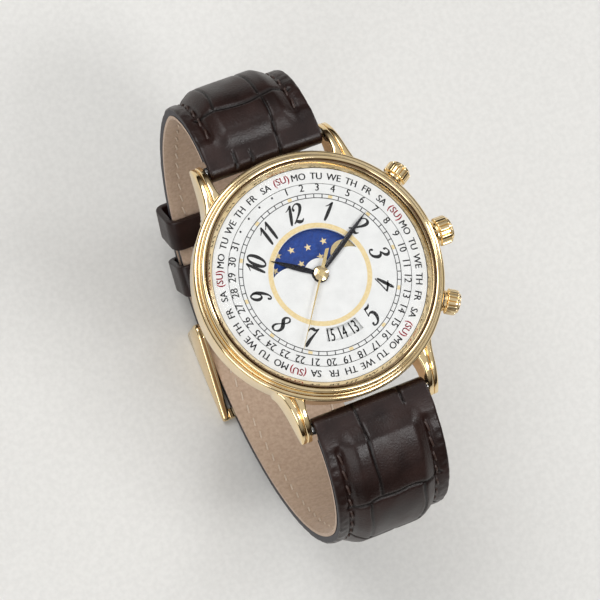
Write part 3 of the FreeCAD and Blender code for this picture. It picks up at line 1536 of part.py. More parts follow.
def strap_leather(band, way):
    """The outer leather of one half, folded about its spring bar."""
    body = new_body()
    sketch = new_sketch(body, "YZ_Plane")
    outline(sketch, band)
    thicken(body, sketch, strap_width, True)
    end_sketch = new_sketch(body, "YZ_Plane")
    round_outline(end_sketch, way * spring_bar_y, spring_bar_z, strap_end_radius)
    if way > 0:
        round_outline(end_sketch, buckle_bar_y, buckle_bar_z, strap_end_radius)
    thicken(body, end_sketch, strap_width, True)
    bore_sketch = new_sketch(body, "YZ_Plane")
    round_outline(bore_sketch, way * spring_bar_y, spring_bar_z, spring_bar_radius + running_clearance)
    if way > 0:
        round_outline(bore_sketch, buckle_bar_y, buckle_bar_z, buckle_bar_radius + running_clearance)
    thicken(body, bore_sketch, strap_width * 2, True, "PartDesign::Pocket")
    return tapered(body)


def strap_lining(band):
    body = new_body()
    sketch = new_sketch(body, "YZ_Plane")
    outline(sketch, band)
    thicken(body, sketch, strap_width, True)
    return tapered(body)


tongue_room = tongue_width / 2 + keeper_gap
short_leather = strap_leather(short_band(0.0, leather, spring_bar_y), 1)
short_lining = strap_lining(short_band(leather, strap_thickness, spring_bar_y))


def fold_room(y, z):
    """Room in the lining for the leather folded about a bar."""
    room = strap_end_radius + running_clearance
    return rod(room, strap_width * 2, -strap_width, y, z, (0, 1, 0), RIGHT_ANGLE)


def eye_slot():
    """Slot in the buckle end of the short half for the tongue's eye."""
    return block(
        (-tongue_room, buckle_bar_y - 3.2, buckle_bar_z - 3.0),
        (tongue_room, buckle_bar_y + 2.4, buckle_bar_z + 3.0),
    )


cut("strap_12_leather", short_leather, [eye_slot()])
short_rooms = [fold_room(spring_bar_y, spring_bar_z), fold_room(buckle_bar_y, buckle_bar_z), eye_slot()]
cut("strap_12_lining", short_lining, short_rooms)


def strap_hole(radius, angle, centre_z, middle):
    """A punch through the long half, square to it at an angle past the bottom of the loop."""
    reach = middle - 3.0
    turn = math.radians(angle)
    punch = rod(radius, 6.0)
    y = strap_bottom_y.value + reach.value * math.sin(turn)
    z = centre_z.value - reach.value * math.cos(turn)
    return place(punch, 0.0, y, z, (1, 0, 0), 180.0 + angle)


hole_radius = size("hole_radius", 0.8)
hole_pitch_angle = 11.0
punches_at = [(-(22.0 + n * hole_pitch_angle), long_centre_z, long_radius) for n in range(3)]
punches_at += [(18.0 + n * hole_pitch_angle, short_centre_z, tail_radius) for n in range(3)]


def pierced(name, base, others):
    """Cut the tongue's slot and the row of adjusting holes through one layer of the long half."""
    slot = block(
        (-tongue_room, buckle_bar_y - 4.4, long_bottom_z - 2.0),
        (tongue_room, buckle_bar_y + 0.4, long_bottom_z + strap_thickness + 2.2),
    )
    punches = [strap_hole(hole_radius, angle, centre_z, middle) for angle, centre_z, middle in punches_at]
    return cut(name, base, [slot] + punches + others)


pierced("strap_6_leather", strap_leather(long_band(0.0, leather, spring_bar_y), -1), [])
long_lining = strap_lining(long_band(leather, strap_thickness, spring_bar_y))
pierced("strap_6_lining", long_lining, [fold_room(-spring_bar_y, spring_bar_z)])


# Keepers: leather loops about the short half and the tail.
def keeper(name, angle):
    body = new_body()
    sketch = new_sketch(body, "XZ_Plane")
    inner_half = strap_buckle_width / 2 + (strap_width - strap_buckle_width) * 0.17 + keeper_gap
    low = -(tail_radius + keeper_gap)
    high = -(short_radius - strap_thickness - keeper_gap)
    outer_half = inner_half + keeper_wall
    outline(
        sketch,
        [(-outer_half, low - keeper_wall), (outer_half, low - keeper_wall), (outer_half, high + keeper_wall),
         (-outer_half, high + keeper_wall)],
    )
    outline(sketch, [(-inner_half, low), (inner_half, low), (inner_half, high), (-inner_half, high)])
    thicken(body, sketch, keeper_length, True)
    place(body, 0.0, strap_bottom_y, short_centre_z, (1, 0, 0), number(angle))
    return node(name, body)


keeper("free_keeper", free_keeper_angle)
keeper("fixed_keeper", fixed_keeper_angle)

# Buckle: two side rails with ears for the bar, joined by the front bar, which is notched for the tongue's tip.
rail_inner = strap_buckle_width / 2 + keeper_gap + running_clearance * 2
ear_radius = buckle_bar_radius + 0.45
front_back_y = buckle_front_y + buckle_front_length
front_top_z = long_bottom_z - 2 * running_clearance + 0.75
buckle_body = new_body()
rail_outline = [
    (buckle_front_y + 0.4, buckle_foot_z),
    (buckle_bar_y + ear_radius - 0.5, buckle_foot_z),
    (buckle_bar_y + ear_radius, buckle_foot_z + 0.5),
    (buckle_bar_y + ear_radius, buckle_bar_z, buckle_bar_y, buckle_bar_z, ear_radius, 1),
    (buckle_bar_y, buckle_bar_z + ear_radius),
    (buckle_bar_y - 1.0, buckle_bar_z + ear_radius - 0.1),
    (buckle_front_y + 1.6, front_top_z),
    (buckle_front_y, front_top_z - 0.5),
    (buckle_front_y, buckle_foot_z + 0.4),
]
for side in (1, -1):
    lift = rail_inner if side > 0 else -(rail_inner + buckle_rail)
    rail_sketch = new_sketch(buckle_body, "YZ_Plane", lift)
    outline(rail_sketch, rail_outline)
    thicken(buckle_body, rail_sketch, buckle_rail)
    if side > 0:
        front_sketch = new_sketch(buckle_body, "YZ_Plane")
        front_high = long_bottom_z - 2 * running_clearance + 0.45
        outline(
            front_sketch,
            [(buckle_front_y + 0.4, buckle_foot_z), (front_back_y - 0.3, buckle_foot_z),
             (front_back_y, buckle_foot_z + 0.3), (front_back_y, front_high),
             (buckle_front_y, front_high + 0.2), (buckle_front_y, buckle_foot_z + 0.4)],
        )
        thicken(buckle_body, front_sketch, 2 * rail_inner + 0.4, True)
ear_hole_sketch = new_sketch(buckle_body, "YZ_Plane")
round_outline(ear_hole_sketch, buckle_bar_y, buckle_bar_z, bar_tip_radius + running_clearance)
thicken(buckle_body, ear_hole_sketch, 2 * (rail_inner + bar_tip_length + running_clearance), True,
        "PartDesign::Pocket")
notch_low = buckle_foot_z - 1.0
tongue_top_z = buckle_foot_z + 0.05 + tongue_thickness
notch = block(
    (-(tongue_width / 2 + 3 * running_clearance), buckle_front_y - 1.0, notch_low),
    (tongue_width / 2 + 3 * running_clearance, front_back_y + 1.0, tongue_top_z + running_clearance),
)
cut("buckle_frame", buckle_body, [notch])

bar_half = rail_inner - running_clearance
tube = rod(buckle_bar_radius, 2 * bar_half, -bar_half, buckle_bar_y, buckle_bar_z, (0, 1, 0), RIGHT_ANGLE)
tip_half = rail_inner + bar_tip_length
tips = rod(bar_tip_radius, 2 * tip_half, -tip_half, buckle_bar_y, buckle_bar_z, (0, 1, 0), RIGHT_ANGLE)
joined("buckle_bar", [tube, tips])

# Tongue: an eye about the buckle bar and a flat arm that goes out through the strap's hole to the front bar.
tongue_body = new_body()
tongue_sketch = new_sketch(tongue_body, "YZ_Plane")
eye_radius = buckle_bar_radius + 0.5
tongue_bottom_z = buckle_foot_z + 0.05
outline(
    tongue_sketch,
    [
        (buckle_front_y - 0.1, tongue_bottom_z + 0.3),
        (buckle_front_y + 0.3, tongue_bottom_z),
        (buckle_bar_y - 2.6, tongue_bottom_z),
        (buckle_bar_y - 1.7, tongue_bottom_z + 0.7),
        (buckle_bar_y - eye_radius + 0.55, buckle_bar_z - 0.9),
        (buckle_bar_y - eye_radius + 0.05, buckle_bar_z),
        (buckle_bar_y - eye_radius - 0.25, buckle_bar_z - 0.9),
        (buckle_bar_y - 2.6, tongue_top_z + 0.4),
        (buckle_bar_y - 3.1, tongue_top_z),
        (buckle_front_y - 0.1, tongue_top_z),
    ],
)
thicken(tongue_body, tongue_sketch, tongue_width, True)
eye_outline = new_sketch(tongue_body, "YZ_Plane")
round_outline(eye_outline, buckle_bar_y, buckle_bar_z, eye_radius)
thicken(tongue_body, eye_outline, tongue_width, True)
eye_bore = new_sketch(tongue_body, "YZ_Plane")
round_outline(eye_bore, buckle_bar_y, buckle_bar_z, buckle_bar_radius + running_clearance)
thicken(tongue_body, eye_bore, tongue_width * 2, True, "PartDesign::Pocket")
node("buckle_tongue", tongue_body)

doc.recompute()
for thing in doc.Objects:
    faults = [state for state in thing.State if state in ("Invalid", "Error")]
    if faults:
        raise RuntimeError(f"{thing.Name} ({thing.Label}) is {faults}")
for name, thing in nodes.items():
    shape = thing.Shape
    if shape.isNull() or not shape.isValid() or not shape.Solids:
        raise RuntimeError(f"{name} has no valid solid")
os.makedirs("parts", exist_ok=True)
for name, thing in nodes.items():
    thing.Shape.exportStep(os.path.join("parts", f"{name}.step"))
print(len(nodes), "nodes written")
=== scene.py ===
"""Moon phase watch on a buckled leather strap: the looks of each piece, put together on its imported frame.

Lengths in this file are in millimetres until they reach a mesh, which is in metres. +Z comes out of the
dial, +X points to 3 o'clock and +Y to 12 o'clock, and the case back's outer face is at height 0.
"""
import math

import bmesh
import bpy
import numpy as np
from mathutils import Matrix, Vector


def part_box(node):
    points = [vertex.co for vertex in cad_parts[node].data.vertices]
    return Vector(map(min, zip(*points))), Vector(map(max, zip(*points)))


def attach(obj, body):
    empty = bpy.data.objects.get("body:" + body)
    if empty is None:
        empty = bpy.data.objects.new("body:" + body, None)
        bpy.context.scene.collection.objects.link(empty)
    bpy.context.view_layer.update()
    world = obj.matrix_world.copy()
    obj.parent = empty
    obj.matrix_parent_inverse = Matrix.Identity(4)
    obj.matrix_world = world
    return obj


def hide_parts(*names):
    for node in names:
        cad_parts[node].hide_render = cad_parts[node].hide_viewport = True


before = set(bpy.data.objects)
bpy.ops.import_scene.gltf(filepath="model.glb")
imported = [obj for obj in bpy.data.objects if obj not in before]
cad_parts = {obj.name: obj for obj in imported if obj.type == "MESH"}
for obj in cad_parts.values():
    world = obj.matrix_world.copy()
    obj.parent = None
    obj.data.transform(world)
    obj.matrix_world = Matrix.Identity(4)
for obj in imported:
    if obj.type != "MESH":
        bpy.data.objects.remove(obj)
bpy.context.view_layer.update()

# Camera. A long lens looks down on the dial, leaning to the 8 o'clock side and rolled to the left, at the
# photograph's angle and scale.
MM = 0.001
DIAL_Z = 6.2
CAMERA_DISTANCE = 450.0
CAMERA_TILT = math.radians(16.44)
CAMERA_BEARING = math.radians(206.73)
CAMERA_ROLL = math.radians(-22.52)
PIXELS_PER_MM = 7.1
PICTURE_PIXELS = 600
DIAL_OFFSET = (2.873, 3.627)

towards = Vector((
    math.sin(CAMERA_TILT) * math.cos(CAMERA_BEARING),
    math.sin(CAMERA_TILT) * math.sin(CAMERA_BEARING),
    math.cos(CAMERA_TILT),
))
level_up = (Vector((0, 1, 0)) - towards * towards.y).normalized()
level_right = level_up.cross(towards)
right = level_right * math.cos(CAMERA_ROLL) + level_up * math.sin(CAMERA_ROLL)
up = level_up * math.cos(CAMERA_ROLL) - level_right * math.sin(CAMERA_ROLL)
eye = Vector((0, 0, DIAL_Z)) + towards * CAMERA_DISTANCE - right * DIAL_OFFSET[0] - up * DIAL_OFFSET[1]
lens = bpy.data.cameras.new("camera")
lens.sensor_width = 36.0
lens.lens = lens.sensor_width * PIXELS_PER_MM * CAMERA_DISTANCE / PICTURE_PIXELS
lens.clip_start = 0.01
camera = bpy.data.objects.new("camera", lens)
turn = Matrix((right, up, towards)).transposed().to_4x4()
camera.matrix_world = Matrix.Translation(eye * MM) @ turn
bpy.context.scene.collection.objects.link(camera)
bpy.context.scene.camera = camera
bpy.context.scene.view_settings.view_transform = "Standard"

# Studio. A matt pale tabletop under the buckle, soft lamps above, and a sky that darkens towards the horizon,
# which gives the polished gold its dark lines.
FLOOR_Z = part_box("buckle_frame")[0].z / MM
FLOOR_HALF = 1500.0


def linear(code):
    """sRGB hex to linear: ((c + 0.055) / 1.055) ** 2.4 for each channel, or c / 12.92 where it is dark."""
    channels = [int(code[i:i + 2], 16) / 255 for i in (0, 2, 4)]
    return tuple(c / 12.92 if c <= 0.04045 else ((c + 0.055) / 1.055) ** 2.4 for c in channels) + (1.0,)


def finish_of(name, colour, roughness, metallic=0.0, **sockets):
    """A new material whose shader has this base colour; other sockets are named with _ for a space."""
    made = bpy.data.materials.new(name)
    made.use_nodes = True
    shader = made.node_tree.nodes["Principled BSDF"]
    shader.inputs["Base Color"].default_value = linear(colour)
    shader.inputs["Roughness"].default_value = roughness
    shader.inputs["Metallic"].default_value = metallic
    for socket, value in sockets.items():
        shader.inputs[socket.replace("_", " ")].default_value = value
    return made


def add(made, kind, inputs=None, **settings):
    """Add a node to a material or world: its settings, then each input, a value or a node's output."""
    node = made.node_tree.nodes.new(kind)
    for name, value in settings.items():
        setattr(node, name, value)
    for name, value in (inputs or {}).items():
        if isinstance(value, bpy.types.NodeSocket):
            made.node_tree.links.new(value, node.inputs[name])
        else:
            node.inputs[name].default_value = value
    return node


def drive(made, socket, output):
    """Link an output into the material's shader."""
    made.node_tree.links.new(output, made.node_tree.nodes["Principled BSDF"].inputs[socket])


def colour_ramp(made, factor, stops):
    """Colour from a factor by (position, hex) stops."""
    ramp = add(made, "ShaderNodeValToRGB", {"Fac": factor})
    elements = ramp.color_ramp.elements
    for index, (position, code) in enumerate((stops[0], stops[-1])):
        elements[index].position = position
        elements[index].color = linear(code)
    for position, code in stops[1:-1]:
        elements.new(position).color = linear(code)
    return ramp.outputs["Color"]


def grained(made, size_mm, depth_mm, colours=None, roughnesses=None, stretch=(1, 1, 1), detail=4.0):
    """Unevenness from one noise of a real size: bump and, where given, ranges of colour and roughness."""
    place = add(made, "ShaderNodeTexCoord")
    mapped = add(made, "ShaderNodeMapping", {"Vector": place.outputs["Object"], "Scale": stretch})
    noise = add(made, "ShaderNodeTexNoise", {
        "Vector": mapped.outputs["Vector"], "Scale": 1.0 / (size_mm * MM), "Detail": detail})
    if depth_mm > 0:
        bump = add(made, "ShaderNodeBump", {"Height": noise.outputs["Fac"], "Distance": depth_mm * MM})
        drive(made, "Normal", bump.outputs["Normal"])
    if colours:
        tones = ((0.35, colours[0]), (0.65, colours[1]))
        drive(made, "Base Color", colour_ramp(made, noise.outputs["Fac"], tones))
    if roughnesses:
        spread = add(made, "ShaderNodeMapRange", {
            "Value": noise.outputs["Fac"], "From Min": 0.3, "From Max": 0.7,
            "To Min": roughnesses[0], "To Max": roughnesses[1]})
        drive(made, "Roughness", spread.outputs["Result"])
    return made


table_card = grained(finish_of("pale tabletop card", "D9D8D5", 0.7), 0.8, 0.02, ("D6D5D2", "DCDBD8"))
floor_mesh = bpy.data.meshes.new("floor")
corners = [(-FLOOR_HALF, -FLOOR_HALF), (FLOOR_HALF, -FLOOR_HALF), (FLOOR_HALF, FLOOR_HALF),
           (-FLOOR_HALF, FLOOR_HALF)]
floor_mesh.from_pydata([(x * MM, y * MM, FLOOR_Z * MM) for x, y in corners], [], [(0, 1, 2, 3)])
floor_mesh.materials.append(table_card)
floor = bpy.data.objects.new("floor", floor_mesh)
bpy.context.scene.collection.objects.link(floor)

LAMPS = (
    ("key_softbox", (-160.0, 330.0, 520.0), (420.0, 420.0), 2.05),
    ("front_softbox", (150.0, -260.0, 460.0), (170.0, 150.0), 0.8),
    ("right_strip", (480.0, 60.0, 260.0), (70.0, 460.0), 0.75),
    ("left_fill", (-430.0, -260.0, 300.0), (300.0, 300.0), 0.8),
)
for name, spot, (width, height), watts in LAMPS:
    light = bpy.data.lights.new(name, "AREA")
    light.shape = "RECTANGLE"
    light.size = width * MM
    light.size_y = height * MM
    light.energy = watts
    lamp = bpy.data.objects.new(name, light)
    lamp.location = Vector(spot) * MM
    lamp.rotation_euler = (-Vector(spot)).to_track_quat("-Z", "Y").to_euler()
    bpy.context.scene.collection.objects.link(lamp)

world = bpy.data.worlds.new("studio")
world.use_nodes = True
bpy.context.scene.world = world
sky_place = add(world, "ShaderNodeTexCoord")
sky_height = add(world, "ShaderNodeSeparateXYZ", {"Vector": sky_place.outputs["Generated"]})
sky_colour = colour_ramp(world, sky_height.outputs["Z"], (
    (0.0, "2B231B"), (0.22, "473D33"), (0.55, "CBCAC7"), (0.92, "FFFFFF")))
background = world.node_tree.nodes["Background"]
world.node_tree.links.new(sky_colour, background.inputs["Color"])
background.inputs["Strength"].default_value = 0.64

# Movement: plates, holder and bridge. Stamped brass plates plated with nickel, with straight brushed grain,
# in a holder moulded of acetal; pressed together and screwed with three steel screws.


def carried(nodes, look):
    """CAD nodes whose shape is right keep it and take this finish."""
    for name in nodes:
        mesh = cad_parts[name].data
        mesh.materials.clear()
        mesh.materials.append(look)


nickel_plate = grained(
    finish_of("brushed nickel-plated brass", "B9B6AD", 0.32, 1.0), 0.05, 0.002,
    ("ABA89F", "C4C1B8"), (0.26, 0.4), (0.05, 1.0, 1.0))
carried(["main_plate", "calendar_plate", "train_bridge"], nickel_plate)
acetal = grained(finish_of("moulded natural acetal", "D3D2CB", 0.45), 0.3, 0.004, ("CECDC6", "D8D7D0"))
carried(["movement_holder"], acetal)
turned_steel = grained(
    finish_of("turned stainless steel", "A9A9A8", 0.28, 1.0), 0.04, 0.001, ("9C9C9B", "B4B4B3"), (0.22, 0.36))
carried(["bridge_screws", "stator", "yoke", "setting_lever", "battery_clamp", "clutch_wheel", "main_stem",
         "weekday_stem", "moon_stem", "rotor", "setting_wheel", "crown_tubes"], turned_steel)

# Movement: wheels and pinions. Cut brass, tumbled bright, each on its own arbor between the plates.
wheel_brass = grained(
    finish_of("cut and tumbled brass", "C9A24E", 0.26, 1.0), 0.05, 0.001, ("BC9442", "D4B060"), (0.2, 0.34))
carried(["cannon_pinion", "minute_wheel", "hour_wheel", "date_driving_wheel", "fourth_wheel", "fifth_wheel",
         "third_wheel", "centre_wheel", "moon_setting_wheel"], wheel_brass)

# Movement: electric parts. A steel button cell, a lacquered circuit board, an aluminium crystal can and a
# coil of enamelled copper wire wound on its core.
cell_steel = grained(finish_of("pressed nickel-plated cell can", "B4B4B6", 0.22, 1.0), 0.3, 0.0,
                     ("A8A8AA", "BEBEC0"), (0.18, 0.3))
carried(["battery"], cell_steel)
board_lacquer = grained(finish_of("green solder lacquer on glass board", "1F5A38", 0.4), 0.12, 0.004,
                        ("1A5032", "25643F"))
carried(["circuit_board"], board_lacquer)
can_aluminium = grained(finish_of("drawn aluminium can", "C2C2C4", 0.3, 1.0), 0.2, 0.001,
                        ("B8B8BA", "CCCCCE"), (0.25, 0.38))
carried(["quartz_can"], can_aluminium)
copper_wire = finish_of("enamelled copper wire", "A4552B", 0.35, 1.0)
wire_place = add(copper_wire, "ShaderNodeTexCoord")
# Turns of real wire are 0.02 mm apart, too fine to show, so they are drawn 0.12 mm apart.
wire_turns = add(copper_wire, "ShaderNodeTexWave", {
    "Vector": wire_place.outputs["Object"], "Scale": 1.0 / (0.12 * MM * 20) * 6.28}, bands_direction="X")
wire_bump = add(copper_wire, "ShaderNodeBump", {"Height": wire_turns.outputs["Fac"], "Distance": 0.03 * MM})
drive(copper_wire, "Normal", wire_bump.outputs["Normal"])
carried(["coil"], copper_wire)

# Case back and seals. The back is a stainless disc, circular-brushed, snapped in over a rubber gasket; the
# crystal sits in a thin gasket of its own.
back_steel = finish_of("circular-brushed stainless steel", "B0AFAC", 0.3, 1.0)
back_place = add(back_steel, "ShaderNodeTexCoord")
back_rings = add(back_steel, "ShaderNodeTexWave", {
    "Vector": back_place.outputs["Object"], "Scale": 900.0, "Distortion": 1.5, "Detail": 3.0,
    "Detail Scale": 4.0}, wave_type="RINGS", rings_direction="Z")
back_bump = add(back_steel, "ShaderNodeBump", {"Height": back_rings.outputs["Fac"], "Distance": 0.006 * MM})
drive(back_steel, "Normal", back_bump.outputs["Normal"])
back_tone = add(back_steel, "ShaderNodeMapRange", {
    "Value": back_rings.outputs["Fac"], "To Min": 0.24, "To Max": 0.4})
drive(back_steel, "Roughness", back_tone.outputs["Result"])
carried(["case_back"], back_steel)
seal_rubber = grained(finish_of("black nitrile rubber", "1A1A1B", 0.6), 0.1, 0.003, ("161617", "1F1F20"))
carried(["case_back_gasket"], seal_rubber)
amber_nylon = grained(finish_of("amber nylon", "5E4425", 0.4), 0.2, 0.002, ("573E21", "664B2B"))
carried(["crystal_gasket"], amber_nylon)

# Case middle. Solid brass, turned and milled, polished by hand and plated with pale yellow gold: a ring
# with a rolled bead under the bezel, and four lugs with two ridges and a groove, flared where they leave
# the ring.
CASE_RADIUS = 17.85
LUG_INNER_X = 9.1
LUG_OUTER_X = 11.35
LUG_ROOT_Y = 12.3
LUG_BEND_Y = 15.9
LUG_TOP_Z = 5.4
LUG_BEND = 5.6
LUG_NOSE = 0.7
LUG_FOOT_Z = 0.75
LUG_HEIGHT = LUG_TOP_Z - LUG_FOOT_Z
LATHE_STEPS = 240

polished_gold = grained(
    finish_of("polished pale gold plating", "F4DAAB", 0.08, 1.0), 3.0, 0.0,
    ("F1D6A3", "F7E0B5"), (0.06, 0.12), detail=6.0)


def grid_faces(rows, columns, closed_rows=False, closed_columns=False):
    """Faces of a grid of points: each joins (i, j), (i + 1, j), (i + 1, j + 1) and (i, j + 1)."""
    i, j = np.meshgrid(
        np.arange(rows if closed_rows else rows - 1),
        np.arange(columns if closed_columns else columns - 1), indexing="ij")
    after_i, after_j = (i + 1) % rows, (j + 1) % columns
    quads = (i * columns + j, after_i * columns + j, after_i * columns + after_j, i * columns + after_j)
    return np.stack(quads, -1).reshape(-1, 4)


def skinned(points, closed_rows=False, closed_columns=False):
    """A grid of points together with its faces."""
    return points, grid_faces(points.shape[0], points.shape[1], closed_rows, closed_columns)


def arc(x, y, radius, start, stop, count):
    """Points of an arc, its angles in degrees."""
    angle = np.radians(np.linspace(start, stop, count))
    return np.stack([x + radius * np.cos(angle), y + radius * np.sin(angle)], -1)


def eased(corners, radius, count=5, closed=True):
    """Round a polygon's corners: a Bezier curve from radius before each corner to radius after it."""
    corners = np.asarray(corners, float)
    radius = np.broadcast_to(np.asarray(radius, float), (len(corners),))[:, None]
    before, after = np.roll(corners, 1, 0) - corners, np.roll(corners, -1, 0) - corners
    back, ahead = (np.linalg.norm(side, axis=1, keepdims=True) for side in (before, after))
    start = corners + before / back * np.minimum(radius, 0.45 * back)
    stop = corners + after / ahead * np.minimum(radius, 0.45 * ahead)
    t = np.linspace(0, 1, count)[None, :, None]
    bend = (1 - t) ** 2 * start[:, None] + 2 * t * (1 - t) * corners[:, None] + t ** 2 * stop[:, None]
    if not closed:
        bend[0], bend[-1] = corners[0], corners[-1]
    return bend.reshape(-1, 2)


def turned(profile, steps=LATHE_STEPS):
    """Lathe work: each (r, z) of the profile goes round the Z axis as (r cos a, r sin a, z)."""
    angle = np.linspace(0, 2 * np.pi, steps, endpoint=False)[:, None]
    r, z = profile[:, 0][None], profile[:, 1][None]
    return np.stack([r * np.cos(angle), r * np.sin(angle), z + 0 * angle], -1)


def made_piece(name, parts, looks, body, replaced=(), sharp_degrees=38.0, printed=False):
    """One mesh piece from parts, each (points, faces) or (points, faces, look number), riding on a body.

    Doubles are merged and the faces of a solid turned outwards; a printed one keeps its faces as they are.
    """
    work = bmesh.new()
    for part in parts:
        points = np.asarray(part[0], float).reshape(-1, 3) * MM
        single = bpy.data.meshes.new("part")
        single.from_pydata(points.tolist(), [], [tuple(f) for f in np.asarray(part[1]).tolist()]
                           if isinstance(part[1], np.ndarray) else part[1])
        if len(part) > 2:
            numbers = np.broadcast_to(np.asarray(part[2], np.int32), (len(single.polygons),))
            single.polygons.foreach_set("material_index", np.ascontiguousarray(numbers))
        work.from_mesh(single)
        bpy.data.meshes.remove(single)
    if not printed:
        bmesh.ops.remove_doubles(work, verts=work.verts, dist=2e-7)
        bmesh.ops.recalc_face_normals(work, faces=work.faces)
    mesh = bpy.data.meshes.new(name)
    work.to_mesh(mesh)
    work.free()
    mesh.polygons.foreach_set("use_smooth", np.ones(len(mesh.polygons), bool))
    mesh.set_sharp_from_angle(angle=math.radians(sharp_degrees))
    for look in looks:
        mesh.materials.append(look)
    made = bpy.data.objects.new(name, mesh)
    bpy.context.scene.collection.objects.link(made)
    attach(made, body)
    if replaced:
        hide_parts(*replaced)
    return made


def ring_part(profile, steps=LATHE_STEPS, closed=True):
    """A turned ring of closed profile, or a turned solid whose profile starts and ends on the axis."""
    return skinned(turned(profile, steps), True, closed)


def along(points, count):
    """Points evenly spaced by length along a polyline."""
    step = np.r_[0, np.cumsum(np.linalg.norm(np.diff(points, axis=0), axis=1))]
    even = np.linspace(0, step[-1], count)
    return np.stack([np.interp(even, step, points[:, k]) for k in range(points.shape[1])], -1)


def lug(way_x, way_y):
    """One lug: its cross-section, two ridges and a groove, carried between a top line and a bottom line.

    Both lines lie in side view and meet on the round nose. The section narrows by 0.3 towards the nose, and
    near the case ring it widens by 0.7 exp(-distance / 0.7 mm).
    """
    bend_z = LUG_TOP_Z - LUG_BEND
    nose_y, nose_z = np.array([LUG_BEND_Y, bend_z]) + (LUG_BEND - LUG_NOSE) * np.array(
        [math.cos(math.radians(20)), math.sin(math.radians(20))])
    top = np.vstack([[LUG_ROOT_Y, LUG_TOP_Z], arc(LUG_BEND_Y, bend_z, LUG_BEND, 90, 20, 30),
                     arc(nose_y, nose_z, LUG_NOSE, 20, -45, 8)])
    bottom = np.vstack([[LUG_ROOT_Y, LUG_FOOT_Z], [LUG_BEND_Y, LUG_FOOT_Z],
                        arc(nose_y, nose_z, LUG_NOSE, -110, -45, 8)])
    top, bottom = along(top, 60), along(bottom, 60)
    section = eased(
        [(LUG_INNER_X, 0.0), (LUG_INNER_X, LUG_HEIGHT), (10.2, LUG_HEIGHT), (10.2, LUG_HEIGHT - 0.7),
         (10.42, LUG_HEIGHT - 0.7), (10.42, LUG_HEIGHT - 0.3), (LUG_OUTER_X, LUG_HEIGHT - 0.45),
         (LUG_OUTER_X, 0.0)],
        [0.3, 0.42, 0.42, 0.1, 0.1, 0.3, 0.45, 0.3], 7)
    share = section[:, 1] / LUG_HEIGHT
    side = bottom[:, None] + (top - bottom)[:, None] * share[None, :, None]
    x = np.broadcast_to(section[:, 0][None], side.shape[:2])
    off_ring = np.clip(np.hypot(x, side[..., 0]) - CASE_RADIUS + 0.2, 0, None)
    middle = (LUG_INNER_X + LUG_OUTER_X) / 2
    thinned = 1 - 0.3 * np.clip((side[..., 0] - 15.0) / 6.0, 0, 1)
    x = LUG_INNER_X + (x - LUG_INNER_X) * thinned + (x - middle) * 0.7 * np.exp(-off_ring / 0.7)
    points = np.stack([way_x * x, way_y * side[..., 0], side[..., 1]], -1)
    return skinned(points, False, True)


case_profile = np.vstack([
    eased([(15.72, 0.93), (16.66, 0.93), (16.66, 0.3), (17.1, 0.3), (17.85, 1.05), (17.85, 4.95)],
          [0.02, 0.02, 0.05, 0.1, 0.5, 0.12], 6, closed=False),
    [(17.7, 5.06)],
    arc(17.64, 5.6, 0.5, -78, 105, 20),
    [(17.3, 5.86), (16.82, 5.84), (16.82, 5.77), (15.72, 5.77)],
])
case_parts = [ring_part(case_profile)] + [lug(x, y) for x in (1, -1) for y in (1, -1)]
made_piece("polished_case", case_parts, [polished_gold], "watch", ["case_middle"])

# Bezel. A separate turned ring of the same gold-plated brass: a thin bead below, a deep groove and a large
# rolled bead above, pressed down over the crystal.
bezel_profile = np.vstack([
    [(16.43, 5.82), (16.75, 5.82), (16.75, 6.16)],
    arc(17.3, 6.36, 0.2, -90, 100, 12),
    [(17.02, 6.5), (16.95, 6.7)],
    arc(16.82, 7.1, 0.37, -50, 180, 22),
])
made_piece("rolled_bezel", [ring_part(bezel_profile)], [polished_gold], "watch", ["bezel"])

# Inner ring between dial and crystal. Turned brass, gold-plated, its slope mirror-polished so that it shows
# the printing beside it.
inner_profile = eased(
    [(15.72, 5.79), (16.33, 5.79), (16.33, 7.18), (16.14, 7.18), (15.53, 6.3), (15.53, 6.26), (15.72, 6.26)],
    [0.02, 0.02, 0.03, 0.06, 0.03, 0.02, 0.02], 5)
made_piece("sloping_ring", [ring_part(inner_profile)], [polished_gold], "watch",
           ["rehaut_ring"])

# Crystal. Domed mineral glass, ground and polished, held in its gasket by the bezel.
CRYSTAL_RADIUS = 16.18
CRYSTAL_TOP_Z = 7.97
DOME_RISE = 0.5
crystal_glass = finish_of("polished mineral glass", "0E1011", 0.02, 0.0, Alpha=0.05)
crystal_glass.surface_render_method = "BLENDED"
glass_place = add(crystal_glass, "ShaderNodeTexCoord")
glass_cloud = add(crystal_glass, "ShaderNodeTexNoise", {
    "Vector": glass_place.outputs["Object"], "Scale": 120.0})
glass_smear = add(crystal_glass, "ShaderNodeMapRange", {
    "Value": glass_cloud.outputs["Fac"], "To Min": 0.01, "To Max": 0.05})
drive(crystal_glass, "Roughness", glass_smear.outputs["Result"])
dome_radius = (CRYSTAL_RADIUS ** 2 + DOME_RISE ** 2) / (2 * DOME_RISE)
dome_r = np.linspace(CRYSTAL_RADIUS, 0, 28)
dome_z = CRYSTAL_TOP_Z - dome_radius + np.sqrt(dome_radius ** 2 - dome_r ** 2)
crystal_profile = np.vstack([
    [(0.0, 7.23), (16.1, 7.23), (CRYSTAL_RADIUS, 7.29)], np.stack([dome_r, dome_z], -1)])
made_piece("glass_crystal", [ring_part(crystal_profile, closed=False)], [crystal_glass], "watch",
           ["crystal"])

# Crowns. Turned brass, milled with eighteen rounded ribs, polished and gold-plated; each is screwed to its
# stem and turns over the case's tube.
CROWN_Z = 4.3
CROWN_SEAT = 18.35
CROWN_RIBS = 18


